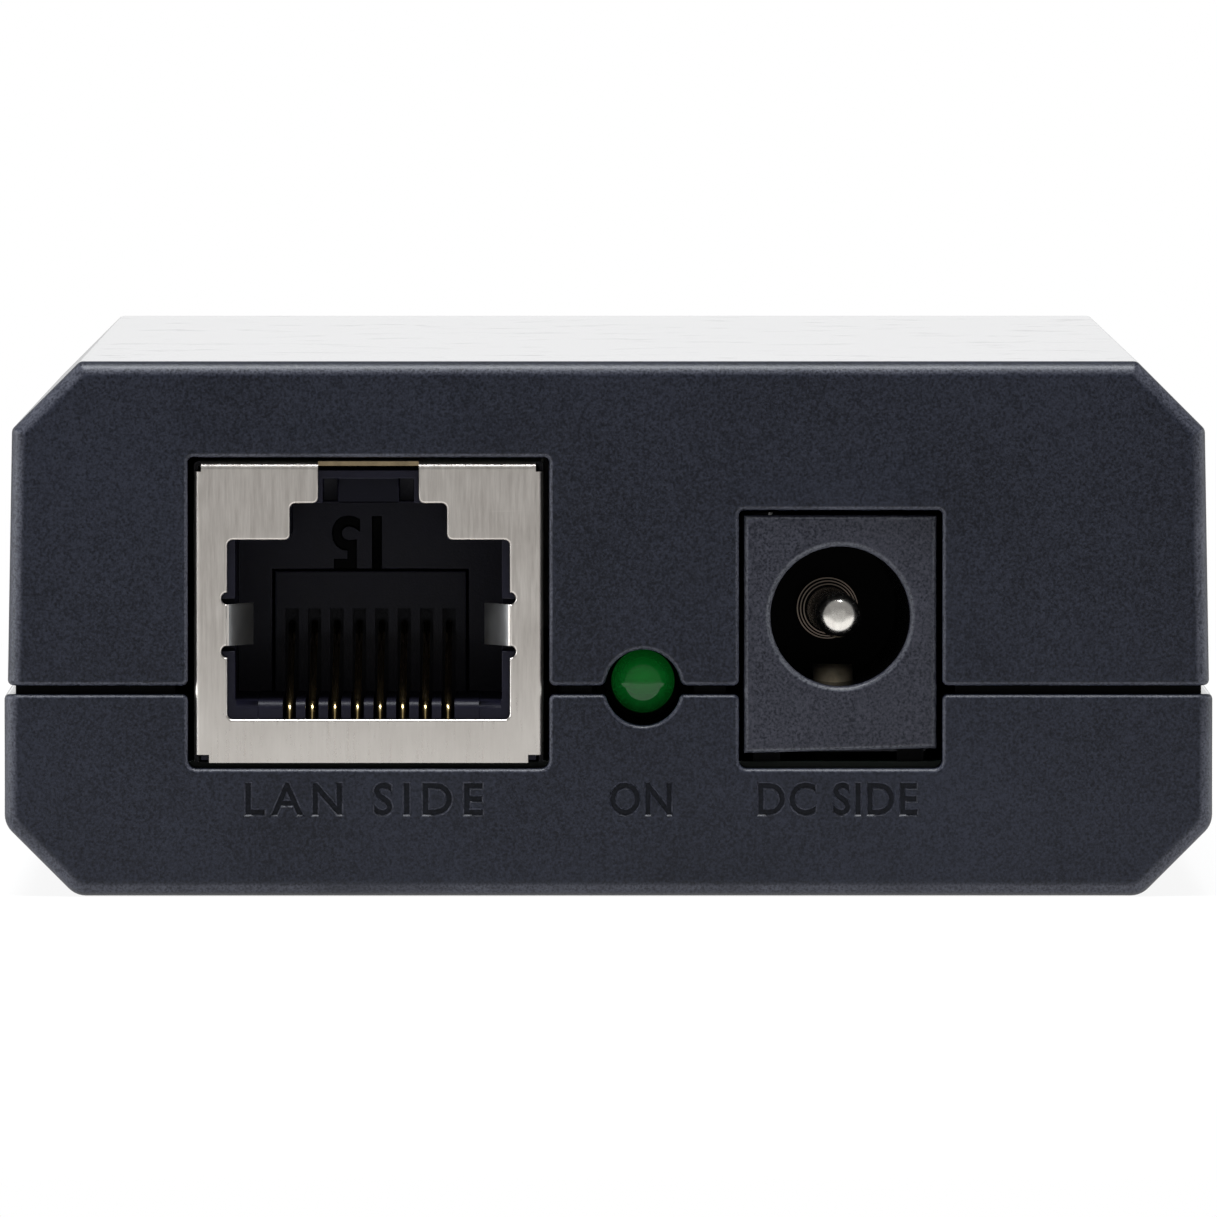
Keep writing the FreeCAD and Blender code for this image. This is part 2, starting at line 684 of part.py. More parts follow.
def make_jack_shield(name):
    body = jack_body(name, "shield")
    half = "shield_width / 2"
    box = sketch_on(body, "XZ_Plane")
    rectangle(box, f"-{half}", half, "0", "shield_height")
    pad(body, box, "shield_depth", "back")
    notches = sketch_on(body, "XZ_Plane")
    for sign in ("-", ""):
        centred(notches, f"{sign}{half}", "shield_height", "2 * top_notch_width", "2 * top_notch_height")
        centred(notches, f"{sign}{half}", "0", "2 * foot_notch_width", "2 * foot_notch_height")
    pocket(body, notches, "fold_round + sheet_thickness")
    lowest, longest = amount("foot_notch_height"), amount("shield_height / 2")
    fillet(body, "fold_round",
           lambda edge: flat_at(edge, "Y", 0) and edge.Length > longest and edge.BoundBox.ZMin > lowest / 2)
    hollow = sketch_on(body, "XZ_Plane", "-sheet_thickness")
    rectangle(hollow, f"sheet_thickness - {half}", f"{half} - sheet_thickness", "-cut_margin",
              "shield_height - sheet_thickness")
    pocket(body, hollow, "shield_depth - 2 * sheet_thickness")
    mouth = sketch_on(body, "XZ_Plane")
    sides = [("mouth_width / 2", "mouth_floor"), ("mouth_width / 2", "mouth_roof"),
             ("step_width / 2", "mouth_roof"), ("step_width / 2", "step_roof"),
             ("latch_width / 2", "step_roof"), ("latch_width / 2", "shield_height - sheet_thickness")]
    outline(mouth, sides + [(f"-{across}", up) for across, up in reversed(sides)])
    pocket(body, mouth, "fold_round + sheet_thickness")
    relief = sketch_on(body, "XZ_Plane")
    for sign in ("-", ""):
        for level, away in (("spring_floor", "-"), ("spring_roof", "+")):
            edge = f"{sign}(mouth_width / 2 - sheet_thickness / 2)"
            far = f"{sign}(mouth_width / 2 + spring_relief_depth)"
            outline(relief, [(edge, level), (edge, f"{level} {away} spring_relief"),
                             (far, f"{level} {away} spring_relief * 2 / 3"),
                             (far, f"{level} {away} spring_relief / 3")])
    pocket(body, relief, "fold_round")
    springs = sketch_on(body, "XY_Plane", "spring_floor")
    for sign in ("", "-"):
        inner = "(mouth_width / 2 - spring_reach)"
        outline(springs, [(f"{sign}(mouth_width / 2 + sheet_thickness)", "0"),
                          (f"{sign}(mouth_width / 2 - sheet_thickness / 2)", "0"),
                          (f"{sign}{inner}", "spring_depth"),
                          (f"{sign}({inner} + sheet_thickness)", "spring_depth"),
                          (f"{sign}(mouth_width / 2 + sheet_thickness)", "sheet_thickness")])
    pad(body, springs, "spring_roof - spring_floor")
    pins = sketch_on(body, "XY_Plane")
    for sign in ("-", ""):
        centred(pins, f"{sign}({half} - sheet_thickness / 2)", "ground_pin_place", "sheet_thickness",
                "ground_pin_width")
    pad(body, pins, "board_thickness + pin_tail", "back")


def make_jack_housing(name):
    body = jack_body(name, "housing")
    shell_room = "(sheet_thickness + housing_clearance)"
    half = f"(shield_width / 2 - {shell_room})"
    top = f"(shield_height - {shell_room})"
    block = sketch_on(body, "XZ_Plane", f"-{shell_room}")
    rectangle(block, f"-{half}", half, "housing_clearance", top)
    pad(body, block, f"shield_depth - 2 * {shell_room}", "back")
    cavity = sketch_on(body, "XZ_Plane")
    sides = [("cavity_width / 2", "cavity_floor"), ("cavity_width / 2", "mouth_roof"),
             ("step_width / 2", "mouth_roof"), ("step_width / 2", "step_roof")]
    outline(cavity, sides + [(f"-{across}", up) for across, up in reversed(sides)])
    pocket(body, cavity, "cavity_depth")
    nook = sketch_on(body, "XZ_Plane")
    rectangle(nook, "-nook_width / 2", "nook_width / 2", "cavity_floor - cut_margin", "nook_roof")
    pocket(body, nook, "comb_back + comb_clearance")
    tunnel = sketch_on(body, "XZ_Plane")
    rectangle(tunnel, "-comb_width / 2 - comb_clearance", "comb_width / 2 + comb_clearance",
              "-cut_margin", "cavity_floor")
    pocket(body, tunnel, "comb_back + comb_clearance")
    keys = sketch_on(body, "XZ_Plane")
    for sign in ("-", ""):
        centred(keys, f"{sign}key_pocket_spread / 2", "key_pocket_floor + key_pocket_height / 2",
                "key_pocket_width", "key_pocket_height")
    pocket(body, keys, "key_pocket_depth")
    slots = sketch_on(body, "XZ_Plane")
    rectangle(slots, "-mouth_width / 2 - 2 * sheet_thickness", "mouth_width / 2 + 2 * sheet_thickness",
              "spring_floor - spring_pocket_room", "spring_roof + spring_pocket_room")
    pocket(body, slots, "spring_depth + spring_pocket_room")


def make_jack_comb(name):
    body = jack_body(name, "comb")
    base = sketch_on(body, "XZ_Plane", "-comb_front")
    rectangle(base, "-comb_width / 2", "comb_width / 2", "comb_clearance", "cavity_floor")
    pad(body, base, "comb_back - comb_front", "back")
    lip = amount("comb_front"), amount("cavity_floor")
    chamfer(body, "comb_lip_chamfer",
           lambda edge: flat_at(edge, "Y", lip[0]) and flat_at(edge, "Z", lip[1]))
    riser = sketch_on(body, "XZ_Plane", "-(cavity_depth + riser_setback)")
    rectangle(riser, "-nook_width / 2 + comb_clearance", "nook_width / 2 - comb_clearance",
              "cavity_floor / 2", "nook_roof - comb_clearance")
    pad(body, riser, "comb_back - cavity_depth - riser_setback", "back")
    back = "(cavity_depth + riser_setback + slot_depth)"
    channel = "(tail_place + tail_stagger + contact_thickness)"
    roof = "(contact_lift + contact_thickness + comb_clearance)"
    slot = sketch_on(body, "YZ_Plane", "-3.5 * contact_pitch")
    front, foot = "comb_front - cut_margin", "-cut_margin"
    outline(slot, [(front, "slot_floor"), (f"{back} - slot_depth / 2", "slot_floor"),
                   (f"{back} - slot_depth / 2", foot), (channel, foot), (channel, roof), (back, roof),
                   (back, "slot_roof"), (front, "slot_roof")])
    cut = pocket(body, slot, "slot_width", "both")
    repeat(body, [cut], "X_Axis", "contact_pitch", 8)


def make_jack_contacts(name):
    """Eight bent wires: tails through the board in two staggered rows, a round bend behind the
    mouth, and a sloping stretch that the plug presses on."""
    body = jack_body(name, "contacts")
    bend = "(comb_front + bend_setback)"
    thick = "contact_thickness"
    low = "contact_lift"
    middle = "(contact_lift + bend_radius)"
    end = "(cavity_depth + riser_setback + slot_depth - contact_thickness)"
    foot = "-board_thickness - pin_tail"
    for number, tail in enumerate(("tail_place", "(tail_place + tail_stagger)")):
        outside, inside = (
            [(f"{bend} - {radius} * sin({angle})", f"{middle} - {radius} * cos({angle})")
             for angle in (0, 60, 120, 180)]
            for radius in ("bend_radius", f"(bend_radius - {thick})"))
        wire = sketch_on(body, "YZ_Plane", f"({number} - 3.5) * contact_pitch")
        outline(wire, [
            (f"{tail} - {thick} / 2", low), (f"{tail} - {thick} / 2", foot),
            (f"{tail} + {thick} / 2", foot), (f"{tail} + {thick} / 2", f"{low} + {thick}"), *inside,
            (end, f"contact_end_height - {thick}"), (end, "contact_end_height"), *reversed(outside)])
        pad(body, wire, "contact_width", "both")
    repeat(body, None, "X_Axis", "2 * contact_pitch", 4)


def power_jack_body(piece, up=BOARD_TOP):
    """A body in the power jack's own frame: its mouth faces -Y at y = 0, and it stands on z = 0."""
    return new_body(f"dc_jack_{piece}", POWER_ACROSS, f"power_jack_recess - {HALF_LENGTH}", up,
                    "power_jack_yaw")


def make_power_jack():
    axis = "barrel_axis_height"
    body = power_jack_body("body")
    half = "power_jack_width / 2"
    flange = sketch_on(body, "XZ_Plane")
    rectangle(flange, f"-{half}", half, "power_jack_foot", "power_jack_foot + power_jack_height")
    pad(body, flange, "flange_depth", "back")
    fillet(body, "front_edge_round", lambda edge: flat_at(edge, "Y", 0))
    barrel = sketch_on(body, "XZ_Plane", "-flange_depth / 2")
    narrow = f"({half} - barrel_wall_step)"
    outline(barrel, [(f"-{narrow}", "power_jack_foot"), (narrow, "power_jack_foot"), (narrow, axis),
                     ("0", f"{axis} + {narrow}"), (f"-{narrow}", axis)], {2: ("0", None), 3: ("0", None)})
    pad(body, barrel, "power_jack_depth - flange_depth / 2", "back")
    stands = sketch_on(body, "XY_Plane")
    for sign in ("-", ""):
        for place in ("stand_front_place", "power_jack_depth - stand_rear_inset"):
            centred(stands, f"{sign}({narrow} - stand_side_inset)", place, "stand_width", "stand_length")
    pad(body, stands, "power_jack_foot + cut_margin")
    hole = sketch_on(body, "XZ_Plane")
    disc(hole, "0", axis, "barrel_radius")
    pocket(body, hole, "barrel_depth")
    rim_length = amount("2 * pi * barrel_radius")
    chamfer(body, "barrel_rim_chamfer", lambda edge: flat_at(edge, "Y", 0) and near(edge.Length, rim_length))
    shank = sketch_on(body, "XZ_Plane")
    disc(shank, "0", axis, "shank_radius + shank_clearance")
    pocket(body, shank, "power_jack_depth + cut_margin")
    wide = "(spring_strip_width + 2 * spring_strip_clearance)"
    groove = sketch_on(body, "XY_Plane")
    rectangle(groove, f"-{wide} / 2", f"{wide} / 2", "spring_strip_start - spring_strip_clearance",
              "spring_strip_end + spring_strip_clearance")
    pocket(body, groove, f"{axis} - barrel_radius / 2", "back")
    side = sketch_on(body, "XY_Plane")
    rectangle(side, f"{narrow} - terminal_thickness - spring_strip_clearance", f"{narrow} + cut_margin",
              "side_strip_place - spring_strip_clearance",
              "side_strip_place + side_strip_length + spring_strip_clearance")
    pocket(body, side, axis, "back")

    pin = power_jack_body("pin", f"{BOARD_TOP} + {axis}")
    profile = sketch_on(pin, "YZ_Plane")
    tip = "centre_pin_setback"
    back_plate = "(power_jack_depth + terminal_thickness)"
    outline(profile, [
        (tip, "0"), (tip, "centre_pin_tip_radius"),
        (f"{tip} + centre_pin_radius - centre_pin_tip_radius", "centre_pin_radius"),
        ("barrel_depth - collar_depth - ring_depth", "centre_pin_radius"),
        ("barrel_depth - collar_depth - ring_depth", "ring_radius"),
        ("barrel_depth - collar_depth", "ring_radius"), ("barrel_depth - collar_depth", "collar_radius"),
        ("barrel_depth", "collar_radius"), ("barrel_depth", "shank_radius"),
        (f"{back_plate} + shank_end", "shank_radius"), (f"{back_plate} + shank_end", "0")])
    revolve(pin, profile, "H_Axis")

    plate = power_jack_body("rear_terminal")
    flat = sketch_on(plate, "XZ_Plane", "-power_jack_depth")
    wide, foot, tail = "terminal_width / 2", "power_jack_foot", "tail_width / 2"
    sides = [(tail, "-board_thickness - pin_tail"), (tail, foot), (wide, f"{foot} + terminal_shoulder"),
             (wide, f"{axis} + terminal_rise")]
    outline(flat, sides + [(f"-{across}", up) for across, up in reversed(sides)])
    centred(flat, "0", axis, "2 * (shank_radius + shank_clearance)", "2 * (shank_radius + shank_clearance)")
    pad(plate, flat, "terminal_thickness", "back")

    strip = power_jack_body("spring")
    path = sketch_on(strip, "YZ_Plane")
    start, end, thick = "spring_strip_start", "spring_strip_end", "terminal_thickness"
    low, bump, foot = "spring_strip_height", "spring_bump_height", "-board_thickness - pin_tail"
    rise, fall = f"{start} + spring_ramp", f"{start} + spring_ramp + spring_crest"
    landing = f"{fall} + spring_ramp"
    outline(path, [
        (start, low), (f"{rise} + {thick} / 3", f"{bump} - {thick}"),
        (f"{fall} - {thick} / 3", f"{bump} - {thick}"), (f"{landing} - {thick} / 3", low),
        (f"{end} - {thick}", low), (f"{end} - {thick}", foot), (end, foot), (end, f"{low} + {thick}"),
        (f"{landing} + {thick} / 3", f"{low} + {thick}"), (f"{fall} + {thick} / 3", bump),
        (f"{rise} - {thick} / 3", bump), (start, f"{low} + {thick}")])
    pad(strip, path, "spring_strip_width", "both")

    switch = power_jack_body("side_terminal")
    leaf = sketch_on(switch, "XY_Plane", "-board_thickness - pin_tail")
    rectangle(leaf, f"{narrow} - terminal_thickness", narrow, "side_strip_place",
              "side_strip_place + side_strip_length")
    pad(switch, leaf, f"board_thickness + pin_tail + {axis} - spring_strip_clearance")


LAMP_BACK = "(lamp_setback + lamp_length)"


def lamp_body(piece, up):
    return new_body(piece, LAMP_ACROSS, f"-{HALF_LENGTH}", up)


def make_lamp():
    lens = lamp_body("power_led_lens", LAMP_UP)
    profile = sketch_on(lens, "YZ_Plane")
    tip = "lamp_setback"
    outline(profile, [
        (tip, "0"), (f"{tip} + lamp_radius", "lamp_radius"),
        (f"{LAMP_BACK} - lamp_flange_depth", "lamp_radius"),
        (f"{LAMP_BACK} - lamp_flange_depth", "lamp_flange_radius"), (LAMP_BACK, "lamp_flange_radius"),
        (LAMP_BACK, "0")], {0: (f"{tip} + lamp_radius", None, "hollow")})
    revolve(lens, profile, "H_Axis")

    leads = lamp_body("power_led_leads", BOARD_TOP)
    path = sketch_on(leads, "YZ_Plane", "-lead_pitch / 2")
    level = "lamp_rise"
    drop = f"({LAMP_BACK} + lead_run)"
    outline(path, [
        (LAMP_BACK, f"{level} - lead_width / 2"), (f"{drop} - lead_width", f"{level} - lead_width / 2"),
        (f"{drop} - lead_width", "-board_thickness - pin_tail"), (drop, "-board_thickness - pin_tail"),
        (drop, f"{level} + lead_width / 2"), (LAMP_BACK, f"{level} + lead_width / 2")])
    pad(leads, path, "lead_width", "both")
    repeat(leads, None, "X_Axis", "lead_pitch", 2)

    holder = lamp_body("power_led_holder", BOARD_TOP)
    plan = sketch_on(holder, "XY_Plane")
    rectangle(plan, "-holder_width / 2", "holder_width / 2", LAMP_BACK, f"{LAMP_BACK} + holder_depth")
    pad(holder, plan, f"{level} + holder_roof_room")
    slots = sketch_on(holder, "XY_Plane")
    for sign in ("-", ""):
        centred(slots, f"{sign}lead_pitch / 2", LAMP_BACK, "lead_width + 2 * lead_clearance",
                "3 * holder_depth")
    pocket(holder, slots, f"{level} + lead_width / 2 + lead_clearance", "back")


def make_board():
    body = new_body("circuit_board")
    width, length = f"{INNER_WIDTH} - 2 * board_clearance", f"{INNER_LENGTH} - 2 * board_clearance"
    plate = sketch_on(body, "XY_Plane", BOARD_FOOT)
    centred(plate, "0", "0", width, length)
    for across, along_case in SCREW_PLACES:
        disc(plate, across, along_case, "screw_radius + screw_clearance")
    pin_room = "contact_width + 2 * pin_hole_clearance"
    for across, sign, _ in JACKS.values():
        turned = "+" if sign else "-"
        for number in range(8):
            tail = "tail_place" if number % 2 == 0 else "tail_place - tail_stagger"
            centred(plate, f"{across} {turned} ({number} - 3.5) * contact_pitch",
                    f"{sign}({JACK_MOUTH} - {tail})", pin_room, pin_room)
        for side in ("-", "+"):
            centred(plate, f"{across} {side} (shield_width - sheet_thickness) / 2",
                    f"{sign}({JACK_MOUTH} - ground_pin_place)", "sheet_thickness + 2 * pin_hole_clearance",
                    "ground_pin_width + 2 * pin_hole_clearance")
    yaw = "power_jack_yaw"
    slack = "4 * pin_hole_clearance"
    narrow = "(power_jack_width / 2 - barrel_wall_step - terminal_thickness / 2)"
    for right, deep, wide, long in (
            ("0", "power_jack_depth + terminal_thickness / 2", "tail_width", "terminal_thickness"),
            ("0", "spring_strip_end - terminal_thickness / 2", "spring_strip_width", "terminal_thickness"),
            (narrow, "side_strip_place + side_strip_length / 2", "terminal_thickness", "side_strip_length")):
        centred(plate, f"{POWER_ACROSS} + ({right}) * cos({yaw}) - ({deep}) * sin({yaw})",
                f"power_jack_recess - {HALF_LENGTH} + ({deep}) * cos({yaw}) + ({right}) * sin({yaw})",
                f"{wide} + {slack}", f"{long} + {slack}")
    for side in ("-", "+"):
        centred(plate, f"{LAMP_ACROSS} {side} lead_pitch / 2",
                f"{LAMP_BACK} + lead_run - lead_width / 2 - {HALF_LENGTH}",
                "lead_width + 2 * pin_hole_clearance", "lead_width + 2 * pin_hole_clearance")
    pad(body, plate, "board_thickness")


# where the parts on the board stand: each keeps to the jack, wall or middle that it belongs with
LAN_PLACE = (DATA_ACROSS,
             f"lan_transformer_gap + lan_lead_reach + lan_transformer_depth / 2 - {HALF_MIDDLE}")
CHOKE_PLACE = ("choke_across", f"{HALF_MIDDLE} - choke_gap - choke_length / 2 - choke_winding_wall")
CAPACITOR_PLACE = (
    f"input_capacitor_side_gap + input_capacitor_radius + capacitor_base_margin - {INNER_WIDTH} / 2",
    f"{HALF_MIDDLE} + input_capacitor_setback")
PACKAGE_PLACES = {
    "lan_transformer": LAN_PLACE,
    "output_inductor": (
        f"{DATA_ACROSS} + shield_width / 2 + output_inductor_side_gap + output_inductor_width / 2",
        f"{LAMP_BACK} + holder_depth + output_inductor_end_gap + output_inductor_depth / 2 - {HALF_LENGTH}"),
    "isolation_capacitor": ("isolation_capacitor_across", "isolation_capacitor_along"),
    "output_capacitor": (
        POWER_ACROSS,
        f"power_jack_recess + power_jack_depth + terminal_thickness + shank_end + output_capacitor_gap"
        f" + output_capacitor_depth / 2 - {HALF_LENGTH}"),
    "optocoupler": ("optocoupler_across", "optocoupler_along"),
    "output_diode": (f"{INNER_WIDTH} / 2 - wall_row_gap - output_diode_width / 2", "output_diode_along"),
    "power_switch": (f"{INNER_WIDTH} / 2 - wall_row_gap - power_switch_width / 2", "power_switch_along"),
    "pulse_controller": (f"{INNER_WIDTH} / 2 - wall_row_gap - pulse_controller_width / 2",
                         "pulse_controller_along"),
    "pd_controller": ("pd_controller_across", "pd_controller_along"),
    "surge_suppressor": ("surge_suppressor_across",
                         f"{HALF_MIDDLE} - surge_suppressor_gap - surge_suppressor_depth / 2"),
}


def package(label, place, stem):
    """A plain package that stands on the board."""
    body = new_body(label, *place, BOARD_TOP)
    plan = sketch_on(body, "XY_Plane")
    centred(plan, "0", "0", f"{stem}_width", f"{stem}_depth")
    pad(body, plan, f"{stem}_height")
    return body


def make_lan_leads():
    body = new_body("lan_transformer_leads", *LAN_PLACE, BOARD_TOP)
    plan = sketch_on(body, "XY_Plane")
    for sign in ("-", ""):
        centred(plan, "-3.5 * lan_lead_pitch", f"{sign}(lan_transformer_depth + lan_lead_reach) / 2",
                "lan_lead_width", "lan_lead_reach")
    pad(body, plan, "lan_lead_thickness")
    repeat(body, None, "X_Axis", "lan_lead_pitch", 8)


def make_power_transformer():
    def piece(name):
        return new_body(f"power_transformer_{name}", "transformer_across", "transformer_along", BOARD_TOP)

    window = "((core_width - core_leg) / 2 - core_rim)"
    window_length = "(core_length - 2 * core_rim)"
    core = piece("core")
    plan = sketch_on(core, "XY_Plane", "core_lift")
    centred(plan, "0", "0", "core_width", "core_length")
    for sign in ("-", ""):
        centred(plan, f"{sign}(core_leg + {window}) / 2", "0", window, window_length)
    pad(core, plan, "core_thickness")

    middle = "(core_lift + core_thickness / 2)"
    hole = ("core_leg + 2 * bobbin_clearance", "core_thickness + 2 * bobbin_clearance")
    tube = tuple(f"{side} + 2 * bobbin_wall" for side in hole)
    flange_reach = f"(core_thickness / 2 + {window} - bobbin_clearance)"
    length = f"({window_length} - 2 * bobbin_clearance)"
    bobbin = piece("bobbin")
    barrel = sketch_on(bobbin, "XZ_Plane")
    centred(barrel, "0", middle, *tube)
    centred(barrel, "0", middle, *hole)
    pad(bobbin, barrel, length, "both")
    for offset, side in ((f"{length} / 2", "back"), (f"-{length} / 2", "front")):
        flange = sketch_on(bobbin, "XZ_Plane", offset)
        half = f"(core_leg / 2 + {window} - bobbin_clearance)"
        rectangle(flange, f"-{half}", half, "0", f"{middle} + {flange_reach}")
        centred(flange, "0", middle, *hole)
        pad(bobbin, flange, "bobbin_wall", side)

    winding = piece("winding")
    turns = sketch_on(winding, "XZ_Plane")
    centred(turns, "0", middle, f"core_leg + 2 * ({window} - winding_setback)",
            f"2 * ({flange_reach} - winding_setback)")
    centred(turns, "0", middle, *tube)
    pad(winding, turns, f"{length} - 2 * bobbin_wall", "both")

    pins = piece("pins")
    feet = sketch_on(pins, "XY_Plane")
    for sign in ("-", ""):
        centred(feet, "-1.5 * bobbin_pin_pitch", f"{sign}({length} + bobbin_pin_reach) / 2",
                "bobbin_pin_width", "bobbin_pin_reach")
    pad(pins, feet, "bobbin_pin_thickness")
    repeat(pins, None, "X_Axis", "bobbin_pin_pitch", 4)


def make_input_choke():
    core = new_body("input_choke_core", *CHOKE_PLACE, BOARD_TOP)
    plan = sketch_on(core, "XY_Plane", "choke_winding_wall")
    centred(plan, "0", "0", "choke_width", "choke_length")
    centred(plan, "0", "0", "choke_width - 2 * choke_rim", "choke_length - 2 * choke_rim")
    pad(core, plan, "choke_thickness")
    coils = new_body("input_choke_windings", *CHOKE_PLACE, BOARD_TOP)
    turns = sketch_on(coils, "YZ_Plane")
    for sign in ("-", ""):
        leg = f"{sign}(choke_length - choke_rim) / 2"
        level = "(choke_winding_wall + choke_thickness / 2)"
        centred(turns, leg, level, "choke_rim + 2 * choke_winding_wall",
                "choke_thickness + 2 * choke_winding_wall")
        centred(turns, leg, level, "choke_rim", "choke_thickness")
    pad(coils, turns, "choke_winding_length", "both")


def make_input_capacitor():
    base = new_body("input_capacitor_base", *CAPACITOR_PLACE, BOARD_TOP)
    plan = sketch_on(base, "XY_Plane")
    side = "2 * (input_capacitor_radius + capacitor_base_margin)"
    centred(plan, "0", "0", side, side)
    pad(base, plan, "capacitor_base_height")
    can = new_body("input_capacitor_can", *CAPACITOR_PLACE, BOARD_TOP)
    round_plan = sketch_on(can, "XY_Plane", "capacitor_base_height")
    disc(round_plan, "0", "0", "input_capacitor_radius")
    pad(can, round_plan, "input_capacitor_height - capacitor_base_height")


# the rows of like parts: the name of their sizes, the first one's place, their number and direction
ROWS = {
    "bridge_rectifiers": (
        "rectifier",
        ("shield_width / 2 + rectifier_side_gap + rectifier_width / 2", f"{HALF_MIDDLE} + rectifier_setback"),
        2, "X_Axis"),
    "chip_resistors": ("resistor", ("resistor_across", "resistor_along"), 7, "X_Axis"),
    "chip_capacitors": ("chip_capacitor", ("chip_capacitor_across", "chip_capacitor_along"), 5, "Y_Axis"),
}


def make_board_parts():
    for label, place in PACKAGE_PLACES.items():
        package(label, place, label)
    make_lan_leads()
    make_power_transformer()
    make_input_choke()
    make_input_capacitor()
    for label, (stem, place, count, role) in ROWS.items():
        repeat(package(label, place, stem), None, role, f"{stem}_spacing", count)


fill_sheet()
make_lower_shell()
make_upper_shell()
make_case_screws()
for jack in JACKS:
    make_jack_shield(jack)
    make_jack_housing(jack)
    make_jack_comb(jack)
    make_jack_contacts(jack)
make_power_jack()
make_lamp()
make_board()
make_board_parts()
doc.recompute()

failed = [item.Name for item in doc.Objects if "Invalid" in item.State or "Error" in item.State]
if failed:
    raise SystemExit("these features failed: " + ", ".join(failed))
for node in nodes:
    if node.Shape.isNull() or not node.Shape.isValid():
        raise SystemExit(node.Label + " has no valid shape")
os.makedirs("parts", exist_ok=True)
for node in nodes:
    node.Shape.exportStep(f"parts/{node.Label}.step")
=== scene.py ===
import math

import bmesh
import bpy
from mathutils import Matrix, Vector


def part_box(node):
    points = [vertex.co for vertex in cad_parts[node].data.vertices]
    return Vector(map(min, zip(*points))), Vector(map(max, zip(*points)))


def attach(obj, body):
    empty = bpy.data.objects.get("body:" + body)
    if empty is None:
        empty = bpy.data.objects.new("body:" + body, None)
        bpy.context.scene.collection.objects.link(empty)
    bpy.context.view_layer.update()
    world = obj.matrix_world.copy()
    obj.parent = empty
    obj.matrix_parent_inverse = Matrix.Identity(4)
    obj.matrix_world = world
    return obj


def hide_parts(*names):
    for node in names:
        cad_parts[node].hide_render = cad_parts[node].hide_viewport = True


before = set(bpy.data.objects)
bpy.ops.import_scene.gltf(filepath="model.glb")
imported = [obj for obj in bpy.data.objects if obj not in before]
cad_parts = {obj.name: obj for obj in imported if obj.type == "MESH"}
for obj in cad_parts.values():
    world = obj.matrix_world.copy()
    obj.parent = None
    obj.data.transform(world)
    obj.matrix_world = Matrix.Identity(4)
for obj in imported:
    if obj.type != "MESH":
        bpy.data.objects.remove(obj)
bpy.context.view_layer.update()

# The camera stands far off, almost square to the front end and a little above it, with a long
# lens, so that the far end of the case looks hardly smaller than the near one.
MM = 0.001
CAMERA_PLACE = Vector((-1.7, -890.4, 47.9)) * MM
FRONT_MIDDLE = Vector((0.0, -40.4, 12.93)) * MM
SENSOR_WIDTH, PHOTO_WIDTH, FOCAL_PIXELS = 36, 1217, 18980


def stand(name, data, place):
    """Put a camera or a lamp at its place, turned to the middle of the front end."""
    item = bpy.data.objects.new(name, data)
    item.location = place
    item.rotation_euler = (FRONT_MIDDLE - item.location).to_track_quat("-Z", "Y").to_euler()
    bpy.context.collection.objects.link(item)
    return item


camera_data = bpy.data.cameras.new("photo_camera")
camera_data.sensor_width = SENSOR_WIDTH
camera_data.lens = FOCAL_PIXELS * SENSOR_WIDTH / PHOTO_WIDTH
bpy.context.scene.camera = stand("photo_camera", camera_data, CAMERA_PLACE)
bpy.context.scene.view_settings.view_transform = "Standard"

# The studio is a white table in a surround that is white low behind the object and dimmer in
# front of it. One soft lamp hangs above the front and one stands at each side.
WHITE, TABLE_GREY = (1.0, 1.0, 1.0, 1.0), (0.8, 0.8, 0.8, 1.0)
ROOM_LIGHT, ROOM_MIRRORED = 0.68, 0.25
BACKDROP, BACKDROP_SIDE, BACKDROP_RISE = 1.12, (0.0, 0.45), (0.55, 0.2)
TABLE_SIZE, TABLE_DROP = 12.0, 0.02
TABLE_NEAR, TABLE_NEAR_SHARE = (0.09, 0.22), 0.9
TABLE_BRIGHT, TABLE_FAR = (104 * MM, 112 * MM), 0.46
LAMP_TINT = (0.94, 0.97, 1.0)
# place in mm, width and height in mm, power in watts
LAMPS = {
    "lamp_above": ((-40, -125, 635), 460, 220, 7.0),
    "lamp_left": ((-620, -60, 150), 380, 300, 2.4),
    "lamp_right": ((600, 60, 150), 420, 300, 1.2),
}


